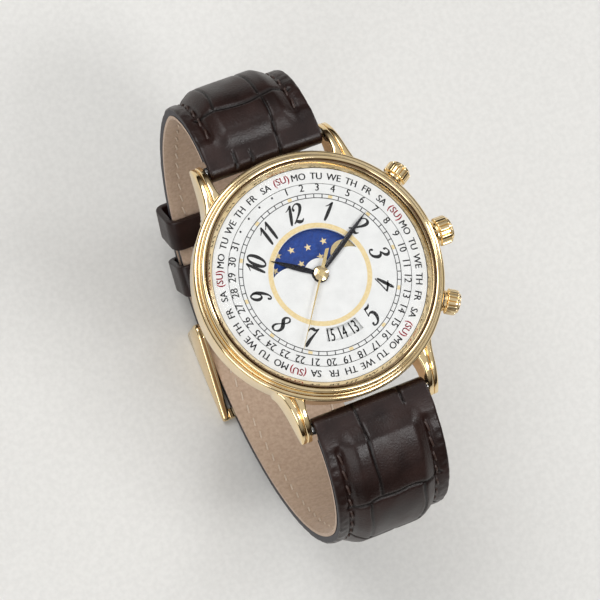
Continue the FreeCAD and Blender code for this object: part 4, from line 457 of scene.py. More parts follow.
def crown_part(radius, length, bearing):
    """Fluted knob: a profile (r, d) about its axis, r less by 0.18 mm in narrow grooves between the ribs.

    A groove's depth is exp(-(sin(ribs * a / 2) / 0.3) ** 2) of that, faded out at both ends of the ribs.
    """
    cap = radius * 0.78
    profile = np.vstack([
        [(1.16, 0.0)],
        eased([(1.16, 0.0), (radius - 0.35, 0.0), (radius - 0.35, 0.28), (radius, 0.45),
               (radius, length - 0.6), (cap + 0.12, length - 0.48), (cap, length - 0.46),
               (cap, length - 0.22), (cap - 0.5, length - 0.05), (0.0, length)],
               [0.0, 0.08, 0.1, 0.12, 0.35, 0.05, 0.04, 0.16, 0.5, 0.0], 6, closed=False),
    ])
    angle = np.linspace(0, 2 * np.pi, CROWN_RIBS * 14, endpoint=False)[:, None]
    r, d = profile[:, 0][None], profile[:, 1][None]
    ribbed = np.clip((d - 0.34) / 0.2, 0, 1) * np.clip((length - 0.42 - d) / 0.15, 0, 1) * (r > cap)
    furrow = np.exp(-(np.sin(CROWN_RIBS * angle / 2) / 0.3) ** 2)
    r = r - 0.18 * furrow * ribbed
    across, high = r * np.cos(angle), r * np.sin(angle)
    out = CROWN_SEAT + d + 0 * angle
    c, s = math.cos(math.radians(bearing)), math.sin(math.radians(bearing))
    points = np.stack([out * c - across * s, out * s + across * c, CROWN_Z + high], -1)
    return skinned(points, True)


for name, radius, length, bearing in (
        ("main_crown", 2.1, 2.7, 0.0), ("weekday_crown", 1.85, 2.5, 31.0), ("moon_crown", 1.85, 2.5, -31.0)):
    made_piece("ribbed_" + name, [crown_part(radius, length, bearing)], [polished_gold], name,
               [name])

# Dial and date scale ring. Stamped brass discs, silvered to a fine pearly white, with openings for the moon
# and for three dates.
pearl_white = grained(
    finish_of("silvered pearl-white dial lacquer", "EDEEED", 0.42, 0.0, Coat_Weight=0.15, Coat_Roughness=0.2),
    1.8, 0.0015, ("E9EAE9", "F1F2F1"), (0.38, 0.48), detail=7.0)
carried(["dial", "date_scale_ring"], pearl_white)

# Printing on the dial. Pad-printed lacquer, a hundredth of a millimetre high: ornate slanted hour numerals,
# the minute track with a gold block at every fifth minute, a gold ring round the moon opening, the scale's
# dates.
PRINT_Z = DIAL_Z + 0.012
NUMERAL_HEIGHT = 2.7
TRACK_INNER = 11.1
TRACK_OUTER = 11.68
ITALIC = 0.2
BOLD = 0.03
FONT_CAP = 0.729
NUMERAL_RADIUS = 9.25
SCALE_DATE_RADIUS = 12.66
SCALE_DOT_RADIUS = 12.75
MOON_RING_INNER = 6.77
MOON_RING_OUTER = 7.47
TRACK_LINE = 0.11

ink_black = grained(finish_of("black pad-printing ink", "131214", 0.5), 0.2, 0.0, ("0F0E10", "19181A"))
ink_grey = grained(finish_of("dark grey pad-printing ink", "2C2C2E", 0.5), 0.2, 0.0, ("272729", "333335"))
ink_red = grained(finish_of("red pad-printing ink", "BE2A3C", 0.5), 0.2, 0.0, ("B52436", "C63244"))
ink_gold = grained(finish_of("pale gold pad-printing ink", "EFD8A2", 0.42, 0.1), 0.3, 0.0,
                   ("EBD29A", "F3DFAE"), (0.36, 0.48))

# Each stroke of a digit is (x, y, pen width) on a body one unit high.
DIGIT_STROKES = {
    "0": [[(.30, 1, .07), (.13, .85, .13), (.07, .5, .18), (.12, .15, .13), (.27, 0, .07), (.44, .15, .13),
           (.50, .5, .18), (.45, .85, .13), (.30, 1, .07)]],
    "1": [[(.06, .76, .03), (.18, .83, .05), (.33, 1, .08)],
          [(.34, 1, .08), (.31, .75, .15), (.29, .4, .17), (.27, .12, .14), (.26, 0, .10)]],
    "2": [[(.10, .70, .12), (.07, .80, .09), (.12, .92, .06), (.28, 1, .07), (.45, .90, .14), (.47, .72, .17),
           (.36, .46, .12), (.16, .18, .06), (.03, .03, .05)],
          [(.03, .03, .05), (.16, .11, .12), (.32, .04, .17), (.47, .03, .12), (.56, .14, .04)]],
    "3": [[(.12, .80, .12), (.10, .90, .07), (.27, 1, .07), (.43, .90, .14), (.43, .74, .15),
           (.24, .56, .05)],
          [(.24, .56, .05), (.42, .50, .12), (.50, .31, .18), (.42, .09, .14), (.24, 0, .07), (.07, .06, .07),
           (.08, .17, .13)]],
    "4": [[(.42, 1, .06), (.24, .66, .06), (.02, .31, .06)],
          [(.02, .30, .07), (.25, .29, .10), (.58, .32, .05)],
          [(.47, .88, .10), (.42, .5, .18), (.38, .14, .16), (.36, 0, .11)]],
    "5": [[(.55, 1, .04), (.44, .93, .11), (.30, .93, .13), (.19, .98, .07)],
          [(.20, .97, .05), (.16, .76, .05), (.12, .58, .04)],
          [(.12, .58, .04), (.28, .64, .09), (.45, .53, .15), (.49, .28, .18), (.37, .06, .12), (.19, 0, .07),
           (.05, .07, .08), (.07, .17, .13)]],
    "7": [[(.06, .78, .04), (.10, .92, .08), (.24, .96, .14), (.40, .90, .12), (.56, 1, .04)],
          [(.56, 1, .04), (.43, .70, .09), (.31, .40, .16), (.24, .15, .19), (.22, 0, .14)]],
    "8": [[(.46, .86, .08), (.33, 1, .06), (.18, .92, .11), (.16, .76, .15), (.33, .55, .18), (.46, .34, .17),
           (.44, .11, .11), (.26, 0, .06), (.08, .10, .11), (.07, .28, .10), (.20, .46, .05), (.39, .66, .06),
           (.46, .86, .08)]],
    "9": [[(.45, .78, .09), (.33, 1, .07), (.16, .90, .13), (.10, .68, .16), (.19, .48, .10), (.34, .50, .06),
           (.45, .78, .08)],
          [(.46, .84, .10), (.47, .62, .17), (.40, .32, .15), (.27, .08, .09), (.13, 0, .06), (.05, .06, .08),
           (.07, .16, .12)]],
}


def stroke_part(stroke):
    """One pen stroke: a Catmull-Rom curve through its points, as wide as the pen, with round ends.

    Between points p1 and p2 it is half of
    2 p1 + (p2 - p0) t + (2 p0 - 5 p1 + 4 p2 - p3) t2 + (3 p1 - p0 - 3 p2 + p3) t3.
    """
    knots = np.array(stroke, float)
    looped = len(knots) > 3 and np.allclose(knots[0, :2], knots[-1, :2])
    first = knots[-2] if looped else 2 * knots[0] - knots[1]
    last = knots[1] if looped else 2 * knots[-1] - knots[-2]
    knots = np.vstack([first, knots, last])
    t = np.linspace(0, 1, 9)[None, :-1, None]
    p0, p1, p2, p3 = (knots[k:len(knots) - 3 + k][:, None] for k in range(4))
    curve = (2 * p1 + (p2 - p0) * t + (2 * p0 - 5 * p1 + 4 * p2 - p3) * t ** 2
             + (3 * p1 - p0 - 3 * p2 + p3) * t ** 3) / 2
    curve = np.vstack([curve.reshape(-1, 3), knots[-2]])
    ahead = np.gradient(curve[:, :2], axis=0)
    ahead /= np.linalg.norm(ahead, axis=1, keepdims=True)
    side = np.stack([-ahead[:, 1], ahead[:, 0]], -1) * (curve[:, 2:] + 0.012) / 2
    start = curve[:1, :2] - ahead[:1] * curve[0, 2] * 0.4
    stop = curve[-1:, :2] + ahead[-1:] * curve[-1, 2] * 0.4
    left = np.vstack([start + side[:1] * 0.5, curve[:, :2] + side, stop + side[-1:] * 0.5])
    right_side = np.vstack([start - side[:1] * 0.5, curve[:, :2] - side, stop - side[-1:] * 0.5])
    return skinned(np.stack([right_side, left], 1))


def flat_parts(outlines, height, angle, radius, middle, flipped, z=PRINT_Z):
    """Lay flat outlines on the dial at a clock angle: scaled, centred, turned and moved out."""
    parts = []
    a = math.radians(-angle + (180 if flipped else 0))
    out = math.radians(90 - angle)
    centre = np.array([radius * math.cos(out), radius * math.sin(out)])
    for points, faces in outlines:
        flat = (points.reshape(-1, 2) - middle) * height
        placed = np.stack([flat[:, 0] * math.cos(a) - flat[:, 1] * math.sin(a),
                           flat[:, 0] * math.sin(a) + flat[:, 1] * math.cos(a)], -1) + centre
        parts.append((np.column_stack([placed, np.full(len(placed), z)]), faces))
    return parts


def numeral_outlines(word):
    """Strokes of a whole numeral, its digits side by side and slanted: x grows by 0.2 y."""
    outlines, shift = [], 0.0
    for digit in word:
        for stroke in DIGIT_STROKES[digit]:
            points, faces = stroke_part(stroke)
            points = points + np.array([shift, 0.0])
            points[..., 0] += ITALIC * points[..., 1]
            outlines.append((points, faces))
        shift += 0.40 if digit == "1" else 0.60
    everything = np.vstack([points.reshape(-1, 2) for points, faces in outlines])
    return outlines, (everything.min(0) + everything.max(0)) / 2


numeral_parts = []
for hour in (1, 2, 3, 4, 5, 7, 8, 9, 10, 11, 12):
    outlines, middle = numeral_outlines(str(hour))
    numeral_parts += flat_parts(outlines, NUMERAL_HEIGHT, hour * 30.0, NUMERAL_RADIUS, middle,
                                hour in (4, 5, 7, 8))
made_piece("hour_numerals", numeral_parts, [ink_black], "watch", printed=True)


def flat_ring(inner, outer, z, start=0.0, stop=360.0):
    """A flat printed band: (r cos a, r sin a) for r from inner to outer."""
    angle = np.radians(np.linspace(start, stop, max(3, int(abs(stop - start) / 1.5) + 1)))[:, None]
    r = np.array([[outer, inner]])
    points = np.stack([r * np.cos(angle), r * np.sin(angle), z + 0 * r * angle], -1)
    return points, grid_faces(points.shape[0], 2)[:, ::-1]


def bars(angles, inner, outer, width, z):
    """Radial printed bars, all at once: corners at inner and outer radius, half the width to each side."""
    a = np.radians(90 - np.asarray(angles, float))[:, None]
    r = np.array([inner, outer, outer, inner])[None]
    w = np.array([-1, -1, 1, 1])[None] * width / 2
    points = np.stack([r * np.cos(a) - w * np.sin(a), r * np.sin(a) + w * np.cos(a), z + 0 * r * a], -1)
    return points, np.arange(points.shape[0] * 4).reshape(-1, 4)


track_parts = [
    flat_ring(TRACK_INNER - TRACK_LINE / 2, TRACK_INNER + TRACK_LINE / 2, PRINT_Z),
    flat_ring(TRACK_OUTER - TRACK_LINE / 2, TRACK_OUTER + TRACK_LINE / 2, PRINT_Z),
    bars([6.0 * minute for minute in range(60) if minute % 5], TRACK_INNER, TRACK_OUTER, 0.13, PRINT_Z),
]
made_piece("minute_track", track_parts, [ink_grey], "watch", printed=True)
gold_parts = [
    flat_ring(MOON_RING_INNER, MOON_RING_OUTER, PRINT_Z),
    bars(np.arange(12) * 30.0, TRACK_INNER + 0.09, TRACK_OUTER - 0.09, 0.62, PRINT_Z),
]
made_piece("gold_print", gold_parts, [ink_gold], "watch", printed=True)


def letters(word, cap_height, squeeze=1.0, bold=BOLD):
    """Plain sans-serif letters as flat triangles, struck twice side by side to make them bolder."""
    shape = bpy.data.curves.new("letters", "FONT")
    shape.body = word
    shape.size = 1.0
    shape.resolution_u = 3
    holder = bpy.data.objects.new("letters", shape)
    bpy.context.scene.collection.objects.link(holder)
    flat = bpy.data.meshes.new_from_object(holder.evaluated_get(bpy.context.evaluated_depsgraph_get()))
    points = np.empty(len(flat.vertices) * 3)
    flat.vertices.foreach_get("co", points)
    flat.calc_loop_triangles()
    triangles = np.empty(len(flat.loop_triangles) * 3, np.int32)
    flat.loop_triangles.foreach_get("vertices", triangles)
    bpy.data.objects.remove(holder)
    bpy.data.curves.remove(shape)
    bpy.data.meshes.remove(flat)
    points = points.reshape(-1, 3)[:, :2] * cap_height / FONT_CAP
    points[:, 0] *= squeeze
    struck = [(points + np.array([shift, 0.0]), triangles.reshape(-1, 3)) for shift in (-bold, bold)]
    return struck, (points.min(0) + points.max(0)) / 2


def fan_part(centre, rim):
    """A flat patch of triangles from its centre to each side of its rim."""
    count = len(rim)
    corner = np.arange(count)
    fan = np.stack([np.zeros(count, int), 1 + corner, 1 + (corner + 1) % count], -1)
    return np.vstack([[centre], rim]), fan


SCALE_PLACES = 35
scale_parts = []
for date in range(1, 32):
    outlines, middle = letters(str(date), 1.1, 0.97, 0.02)
    scale_parts += flat_parts(outlines, 1.0, (date - 1) * 360.0 / SCALE_PLACES, SCALE_DATE_RADIUS, middle,
                              False)
dot = fan_part((0.0, 0.0), arc(0, 0, 0.16, 0, 345, 24))
for place in range(31, 35):
    scale_parts += flat_parts([dot], 1.0, place * 360.0 / SCALE_PLACES, SCALE_DOT_RADIUS, np.zeros(2), False)
made_piece("lacquered_joint", [flat_ring(11.9, 12.16, DIAL_Z + 0.006)], [pearl_white], "watch",
           printed=True)
made_piece("scale_dates", scale_parts, [ink_grey], "watch", printed=True)

# Weekday ring. A stamped and lacquered ring that the 2 o'clock crown turns, printed five times round with the
# seven weekdays, Sundays in red.
lacquer_white = grained(
    finish_of("white lacquer on a stamped ring", "EDEEED", 0.42, 0.0, Coat_Weight=0.15, Coat_Roughness=0.2),
    1.5, 0.001, ("E9EAE9", "F1F2F1"), (0.38, 0.48))
carried(["weekday_ring", "date_ring"], lacquer_white)
WEEKDAY_RADIUS = 14.28
weekday_parts, sunday_parts = [], []
for place in range(SCALE_PLACES):
    word = ("(SU)", "MO", "TU", "WE", "TH", "FR", "SA")[place % 7]
    outlines, middle = letters(word, 1.02, 0.98)
    ring = sunday_parts if word == "(SU)" else weekday_parts
    ring += flat_parts(outlines, 1.0, place * 360.0 / SCALE_PLACES - 0.4, WEEKDAY_RADIUS, middle, False)
made_piece("weekday_letters", weekday_parts, [ink_grey], "weekday_ring", printed=True)
made_piece("sunday_letters", sunday_parts, [ink_red], "weekday_ring", printed=True)

# Date ring. It carries the dates past the opening at 6 o'clock, which shows three of them in tall narrow
# digits.
DATE_STEP = 360.0 / 31
DATE_RADIUS = 8.72
DATE_PRINT_Z = 5.512
date_parts = []
for date in range(1, 32):
    outlines, middle = letters(str(date), 1.95, 0.5)
    date_parts += flat_parts(outlines, 1.0, 180.0 + (date - 14) * DATE_STEP, DATE_RADIUS, middle, True,
                             DATE_PRINT_Z)
made_piece("ring_dates", date_parts, [ink_black], "date_ring", printed=True)

# Moon disc. A stamped disc in deep blue lacquer, printed with two gold moons opposite each other and gold
# stars.
night_blue = grained(
    finish_of("deep blue lacquer", "113C8C", 0.38, 0.0, Coat_Weight=0.15, Coat_Roughness=0.15),
    0.6, 0.001, ("0F3580", "144396"), (0.33, 0.43))
carried(["moon_disc"], night_blue)
MOON_Z = 5.462
MOON_STEPS = 64
MOON_CENTRE = (4.6, 1.8)
MOON_RADIUS = 1.95
STAR_SIZE = 0.56


def star_part(x, y, size, tilt):
    """Five-pointed star: ten rim points, radius size and 0.42 size by turns, fanned from the middle."""
    angle = np.radians(tilt + 36.0 * np.arange(10))
    r = np.where(np.arange(10) % 2 == 0, size, 0.42 * size)
    return fan_part((x, y), np.stack([x + r * np.cos(angle), y + r * np.sin(angle)], -1))


moon = fan_part(MOON_CENTRE, arc(*MOON_CENTRE, MOON_RADIUS, 0, 360 - 360 / MOON_STEPS, MOON_STEPS))
stars = ((-2.4, 4.73, 90), (0.0, 4.32, 80), (2.47, 4.39, 90), (-1.8, 2.4, 95), (1.2, 2.45, 84),
         (-5.7, 2.76, 100), (-4.5, 4.68, 70))
sky_parts = [(np.column_stack([points, np.full(len(points), MOON_Z)]), faces)
             for points, faces in [moon] + [star_part(x, y, STAR_SIZE, tilt) for x, y, tilt in stars]]
half_turn = np.array([-1.0, -1.0, 1.0])
sky_parts += [(points * half_turn, faces) for points, faces in sky_parts]
made_piece("gold_moons_and_stars", sky_parts, [ink_gold], "moon_disc", printed=True)

# Hour and minute hands. Leaf hands stamped from steel, pressed with a ridge down the middle and blackened;
# pushed onto the hour wheel's pipe and the cannon pinion.
HAND_THICKNESS = 0.13
HOUR_LOW, HOUR_CLOCKWISE = 6.35, 304.8
MINUTE_LOW, MINUTE_CLOCKWISE = 6.6, 57.6
black_steel = grained(
    finish_of("blackened hand steel", "17161D", 0.3, 0.35, Coat_Weight=0.2, Coat_Roughness=0.15),
    0.3, 0.001, ("131219", "1D1C24"), (0.25, 0.36))


def leaf_part(length, tail, half_width, low, clockwise):
    """A ridged leaf along its own axis: half-width w (1 - u2) with u from -1 at the tail to 1 at the tip.

    Its section is a roof: bevelled edges at a third of the height and a ridge at the full height.
    """
    u = np.linspace(-1, 1, 49)[:, None]
    reach = (length - tail) / 2 + u * (length + tail) / 2
    half = half_width * (1 - u ** 2) + 0.004
    across = np.array([-1, -1, -0.12, 0.12, 1, 1])[None]
    high = np.array([0.0, 0.35, 1.0, 1.0, 0.35, 0.0])[None]
    a = math.radians(90 - clockwise)
    along_hand, side = reach + 0 * across, across * half
    points = np.stack([along_hand * math.cos(a) + side * math.sin(a),
                       along_hand * math.sin(a) - side * math.cos(a),
                       low + HAND_THICKNESS * high + 0 * reach], -1)
    faces = grid_faces(49, 6, False, True).tolist()
    return points, faces + [list(range(6)), list(range(48 * 6, 49 * 6))]


def boss_part(bore, radius, low, high, ease=0.04):
    """A turned boss with eased edges."""
    return ring_part(eased([(bore, low), (radius, low), (radius, high), (bore, high)], ease, 4), 96)


made_piece("leaf_hour_hand", [leaf_part(7.4, 1.3, 0.4, HOUR_LOW, HOUR_CLOCKWISE),
                              boss_part(0.93, 1.12, HOUR_LOW, HOUR_LOW + HAND_THICKNESS)],
           [black_steel], "hour_hand", ["hour_hand"])
made_piece("leaf_minute_hand", [leaf_part(11.4, 1.1, 0.37, MINUTE_LOW, MINUTE_CLOCKWISE),
                                boss_part(0.65, 1.0, MINUTE_LOW, MINUTE_LOW + HAND_THICKNESS)],
           [black_steel], "minute_hand", ["minute_hand"])

# Seconds hand. Gilt brass: a fine needle, a flat counterweight bar cut on the slant, and a coned hub with a
# bright cap, over the other hands' bosses; pushed onto the fourth wheel's arbor.
SECOND_LOW = 6.88
SECOND_CLOCKWISE = 215.6
gilt_brass = grained(finish_of("gilt and polished brass", "F3DAA0", 0.24, 0.75), 0.6, 0.0,
                     ("F0D598", "F6DFA9"), (0.21, 0.28), detail=1.0)


def flat_hand_part(outline, low, high, clockwise, ease=0.02):
    """A flat hand from its outline (across, along): its ring of points at four heights, and two lids."""
    a = math.radians(90 - clockwise)
    outline = np.asarray(outline, float)
    inward = (outline.mean(0) - outline)
    inward /= np.linalg.norm(inward, axis=1, keepdims=True)
    rings = []
    for inset, z in ((ease, low), (0, low + ease), (0, high - ease), (ease, high)):
        ring = outline + inward * inset
        rings.append(np.stack([ring[:, 1] * math.cos(a) + ring[:, 0] * math.sin(a),
                               ring[:, 1] * math.sin(a) - ring[:, 0] * math.cos(a), np.full(len(ring), z)],
                               -1))
    count = len(outline)
    lids = [list(range(count)), list(range(3 * count, 4 * count))]
    return np.stack(rings), grid_faces(4, count, False, True).tolist() + lids


needle = [(-0.16, 0.0), (0.16, 0.0), (0.1, 4.0), (0.055, 8.0), (0.03, 11.35), (-0.03, 11.35), (-0.055, 8.0),
          (-0.1, 4.0)]
weight = [(-0.24, -3.85), (0.24, -3.6), (0.24, 0.0), (-0.24, 0.0)]
hub_cone = eased([(0.0, SECOND_LOW), (1.06, SECOND_LOW), (1.06, 6.93), (0.6, 7.05), (0.0, 7.05)],
                 [0, 0.02, 0.03, 0.05, 0], 5, closed=False)
hub_cap = eased([(0.0, 7.0), (0.5, 7.0), (0.5, 7.1), (0.3, 7.127), (0.0, 7.127)], [0, 0.02, 0.04, 0.1, 0], 5,
                closed=False)
second_parts = [
    flat_hand_part(needle, SECOND_LOW, SECOND_LOW + 0.1, SECOND_CLOCKWISE),
    flat_hand_part(weight, SECOND_LOW, SECOND_LOW + 0.11, SECOND_CLOCKWISE),
    ring_part(hub_cone, 96, closed=False) + (1,),
    ring_part(hub_cap, 96, closed=False) + (0,),
]
made_piece("gilt_seconds_hand", second_parts, [gilt_brass, polished_gold], "second_hand",
           ["second_hand"])

# Strap, both halves. Calf leather pressed with a crocodile grain of large square scales, cemented over a foam
# pad, folded round the spring bar and sewn tone on tone; its edges are painted. The grain's grooves get
# painted shade in the leather's colour, and the edge paint's bluish tint is a painted reflection.
STRAP_HALF_WIDTH = 8.8
STRAP_NARROWING = 0.8 / 46.95
STITCH_MARGIN = 2.0
UNDER_COLUMNS = 12
LEATHER = 1.5
LINING = 0.7

calf = finish_of("embossed dark brown calf leather", "2A140F", 0.34, 0.0, Specular_IOR_Level=0.34)
calf_place = add(calf, "ShaderNodeTexCoord")
calf_groove_shade_mask = add(calf, "ShaderNodeAttribute", attribute_name="groove")
calf_creases = add(calf, "ShaderNodeTexVoronoi", {
    "Vector": calf_place.outputs["Object"], "Scale": 1 / (0.55 * MM)}, feature="DISTANCE_TO_EDGE")
calf_pores = add(calf, "ShaderNodeTexNoise", {
    "Vector": calf_place.outputs["Object"], "Scale": 1 / (0.25 * MM), "Detail": 5.0})
calf_cloud = add(calf, "ShaderNodeTexNoise", {
    "Vector": calf_place.outputs["Object"], "Scale": 1 / (4.0 * MM), "Detail": 6.0})
calf_relief = add(calf, "ShaderNodeMath", {
    0: calf_pores.outputs["Fac"], 1: calf_creases.outputs["Distance"]}, operation="ADD")
calf_bump = add(calf, "ShaderNodeBump", {
    "Height": calf_relief.outputs[0], "Distance": 0.03 * MM, "Strength": 0.8})
drive(calf, "Normal", calf_bump.outputs["Normal"])
calf_tone = colour_ramp(calf, calf_cloud.outputs["Fac"], ((0.32, "180B09"), (0.68, "26130F")))
# Painted shade: the base colour darkens towards 0D0605 with the groove depth stored on the strap mesh.
calf_painted_groove_shade = add(calf, "ShaderNodeMix", {
    0: calf_groove_shade_mask.outputs["Fac"], 6: calf_tone, 7: linear("0D0605")}, data_type="RGBA")
drive(calf, "Base Color", calf_painted_groove_shade.outputs[2])
calf_gloss = add(calf, "ShaderNodeMapRange", {
    "Value": calf_cloud.outputs["Fac"], "From Min": 0.3, "From Max": 0.7, "To Min": 0.27, "To Max": 0.43})
drive(calf, "Roughness", calf_gloss.outputs["Result"])
# The edge paint is dark; its bluish tint is a painted reflection.
edge_paint_and_painted_reflection = grained(
    finish_of("painted strap edge with painted bluish reflection", "1A1620", 0.45, 0.0, Specular_IOR_Level=0.3), 0.3, 0.01,
    ("16121B", "201C28"))
brown_thread = grained(
    finish_of("dark brown waxed polyester thread", "33211B", 0.45), 0.08, 0.01, ("291913", "402B24"))


class Band:
    """Side view of one strap half: runs of (length, turn in degrees) from a start point and heading."""

    def __init__(self, start, heading, runs):
        lengths = np.array([0.0] + [run[0] for run in runs])
        self.knots = np.cumsum(lengths)
        self.headings = heading + np.cumsum([0.0] + [run[1] for run in runs])
        self.fine = np.linspace(0, self.knots[-1], int(self.knots[-1] / 0.02))
        step = self.fine[1]
        angle = np.radians(np.interp(self.fine + step / 2, self.knots, self.headings))
        self.y = start[0] + np.r_[0, np.cumsum(np.cos(angle[:-1])) * step]
        self.z = start[1] + np.r_[0, np.cumsum(np.sin(angle[:-1])) * step]
        self.length = self.knots[-1]

    def at(self, s, way):
        """Point and outward normal at each length s along the band; way is which side of it is outside."""
        angle = np.radians(np.interp(s, self.knots, self.headings))
        point = np.stack([np.interp(s, self.fine, self.y), np.interp(s, self.fine, self.z)], -1)
        return point, way * np.stack([-np.sin(angle), np.cos(angle)], -1)


FOLD_RADIUS = 1.6
FOLD_Y, FOLD_Z = 19.8, 1.1
SIX_BEND = 33.2
TAIL_BEND = 37.0
FOLD = math.pi * FOLD_RADIUS
quarter = math.pi / 2
bar_angle = math.degrees(math.asin(6.5 / 33.0))
short_turn = 90.0 - bar_angle
twelve_band = Band((FOLD_Y, FOLD_Z), 180.0, [
    (FOLD, -180.0), (1.6, 0.0), (quarter * 11.2, -90.0), (math.radians(short_turn) * 34.6, -short_turn),
    (math.radians(168.0) * FOLD_RADIUS, -168.0)])
six_band = Band((-FOLD_Y, FOLD_Z), 0.0, [
    (FOLD, 180.0), (0.4, 0.0), (quarter * 15.0, 90.0), (quarter * SIX_BEND, 90.0),
    (math.radians(48.0) * TAIL_BEND, 48.0)])


def ripple(seed, s, t, size, count=24):
    """Smooth unevenness between about -1 and 1: a sum of count waves of random direction, near one size."""
    draw = np.random.default_rng(seed)
    angle, phase = draw.uniform(0, 2 * np.pi, (2, count))
    wave = 2 * np.pi / (size * draw.uniform(0.7, 1.5, count))
    total = sum(np.sin(w * (s * math.cos(a) + t * math.sin(a)) + p) for w, a, p in zip(wave, angle, phase))
    return total / math.sqrt(count)


def groove(distance, width):
    """A pressed groove's depth from the distance to its middle: 1 / (1 + (d / width) ** 4)."""
    return 1.0 / (1.0 + (distance / width) ** 4)


# Grooves of the pressed grain, with s counted from the spring bar's top and t across from the 9 o'clock side.
# Across: (s, bow, slant). Lengthwise: (t, from s, to s, drift).
TWELVE_ACROSS = ((7.8, 0.5, -0.02), (17.5, 0.6, 0.03), (27.0, -0.5, 0.0), (36.0, 0.5, -0.02),
                 (44.0, 0.4, 0.02), (51.0, -0.4, 0.0), (57.5, 0.3, 0.0))
TWELVE_LONG = ((2.2, -2.0, 7.8, 0.06), (-4.5, -1.5, 1.6, 0.0), (-2.2, -1.2, 1.0, 0.0),
               (2.6, 7.8, 17.5, -0.03), (-4.2, 7.8, 17.5, 0.02), (-1.6, 17.5, 27.0, 0.02),
               (4.4, 17.5, 27.0, 0.0), (2.4, 27.0, 36.0, 0.02), (-4.0, 27.0, 36.0, 0.0),
               (-0.8, 36.0, 44.0, 0.0), (4.0, 36.0, 44.0, 0.0), (2.0, 44.0, 51.0, 0.0),
               (-3.2, 44.0, 51.0, 0.0), (0.4, 51.0, 57.5, 0.0), (-4.4, 51.0, 57.5, 0.0))
SIX_ACROSS = ((13.1, 0.45, 0.0), (23.6, -0.5, 0.03), (33.5, 0.5, -0.02), (43.0, 0.4, 0.0), (52.0, -0.4, 0.02),
              (60.5, 0.4, 0.0), (68.5, 0.3, 0.0), (76.0, -0.3, 0.0), (83.0, 0.3, 0.0), (90.0, 0.3, 0.0),
              (97.0, -0.3, 0.0), (103.5, 0.3, 0.0))
SIX_LONG = ((-2.4, -2.0, 13.1, 0.01), (4.6, -1.8, 1.6, 0.0), (-4.0, 13.1, 23.6, 0.02),
            (4.4, 13.1, 23.6, -0.02), (0.6, 23.6, 33.5, 0.02), (-4.4, 33.5, 43.0, 0.0),
            (3.4, 33.5, 43.0, 0.02), (-0.6, 43.0, 52.0, 0.0), (4.6, 43.0, 52.0, 0.0), (-3.6, 52.0, 60.5, 0.0),
            (2.6, 52.0, 60.5, 0.0), (0.0, 60.5, 68.5, 0.0), (-3.0, 68.5, 76.0, 0.0), (3.2, 68.5, 76.0, 0.0),
            (0.8, 76.0, 83.0, 0.0), (-3.4, 83.0, 90.0, 0.0), (2.8, 83.0, 90.0, 0.0), (-0.4, 90.0, 97.0, 0.0),
            (3.0, 97.0, 103.5, 0.0), (-2.8, 97.0, 103.5, 0.0))


def pressed_grain(s, t, across, lengthwise, seed):
    """Depth in mm of the crocodile grain and how far down each point is in a groove, 0 to 1."""
    wander = 0.22 * ripple(seed, s, t, 7.0)
    depth = np.zeros_like(s * t)
    for s0, bow, slant in across:
        line = s0 + bow * (1 - 2 * np.cos(t * 0.42)) * 0.5 + slant * t + wander
        depth = np.maximum(depth, groove(s - line, 0.26))
    for t0, low, high, drift in lengthwise:
        line = t0 + drift * (s - low) + 0.7 * wander
        within = np.clip((s - low) / 0.5, 0, 1) * np.clip((high - s) / 0.5, 0, 1)
        depth = np.maximum(depth, groove(t - line, 0.19) * within)
    return depth


def smooth_step(x):
    """0 below 0, 1 above 1, and 3 x2 - 2 x3 between."""
    x = np.clip(x, 0, 1)
    return x * x * (3 - 2 * x)


def strap_width_at(z):
    """Half the strap's width: full above the case back and narrower towards the buckle."""
    return STRAP_HALF_WIDTH + STRAP_NARROWING * np.minimum(z, 0.0)


def leather_height(s, t, half, spec, seed):
    """Height of the outer leather over its datum line, and groove depth.

    The pad swells by 1 mm inside the seam, 2.1 mm to 4.5 mm from the edge, and dies out towards the
    buckle. The seam lies in a channel, and outside it the margin is pressed flat.
    """
    margin = half - np.abs(t)
    padded = smooth_step((s - 1.4) / 3.2) * (1 - smooth_step((s - spec["pad_end"]) / 16.0))
    seamed = smooth_step((s - 3.2) / 1.6)
    grain = pressed_grain(s, t, spec["across"], spec["long"], seed)
    crown = smooth_step((margin - 2.1) / 2.4)
    height = 1.0 * padded * crown - 0.3 * seamed * (1 - smooth_step((margin - 2.0) / 0.9))
    height -= seamed * 0.24 * groove(margin - STITCH_MARGIN, 0.4)
    pebbles = ripple(seed + 1, s, t, 1.6) * seamed * (1 - smooth_step((margin - 1.4) / 0.4))
    height += 0.03 * pebbles + 0.02 * ripple(seed + 2, s, t, 5.0)
    inside = smooth_step((margin - 0.9) / 0.8)
    height -= 0.26 * grain * inside
    height -= 0.28 * (1 - np.sqrt(np.clip(1 - (1 - np.clip(margin / 0.45, 0, 1)) ** 2, 0, 1)))
    for s0, t0 in spec["holes"]:
        height -= 1.3 * smooth_step((0.95 - np.hypot(s - s0, t - t0)) / 0.35)
    return height, grain * inside


def taper_of(s, length, round_end):
    """Share of the width left near a rounded end: sqrt(1 - x2) over its last 7 mm."""
    if not round_end:
        return np.ones_like(s)
    x = np.clip((s - (length - 7.0)) / 7.0, 0, 0.999)
    return np.sqrt(1 - x ** 2 * 0.995)


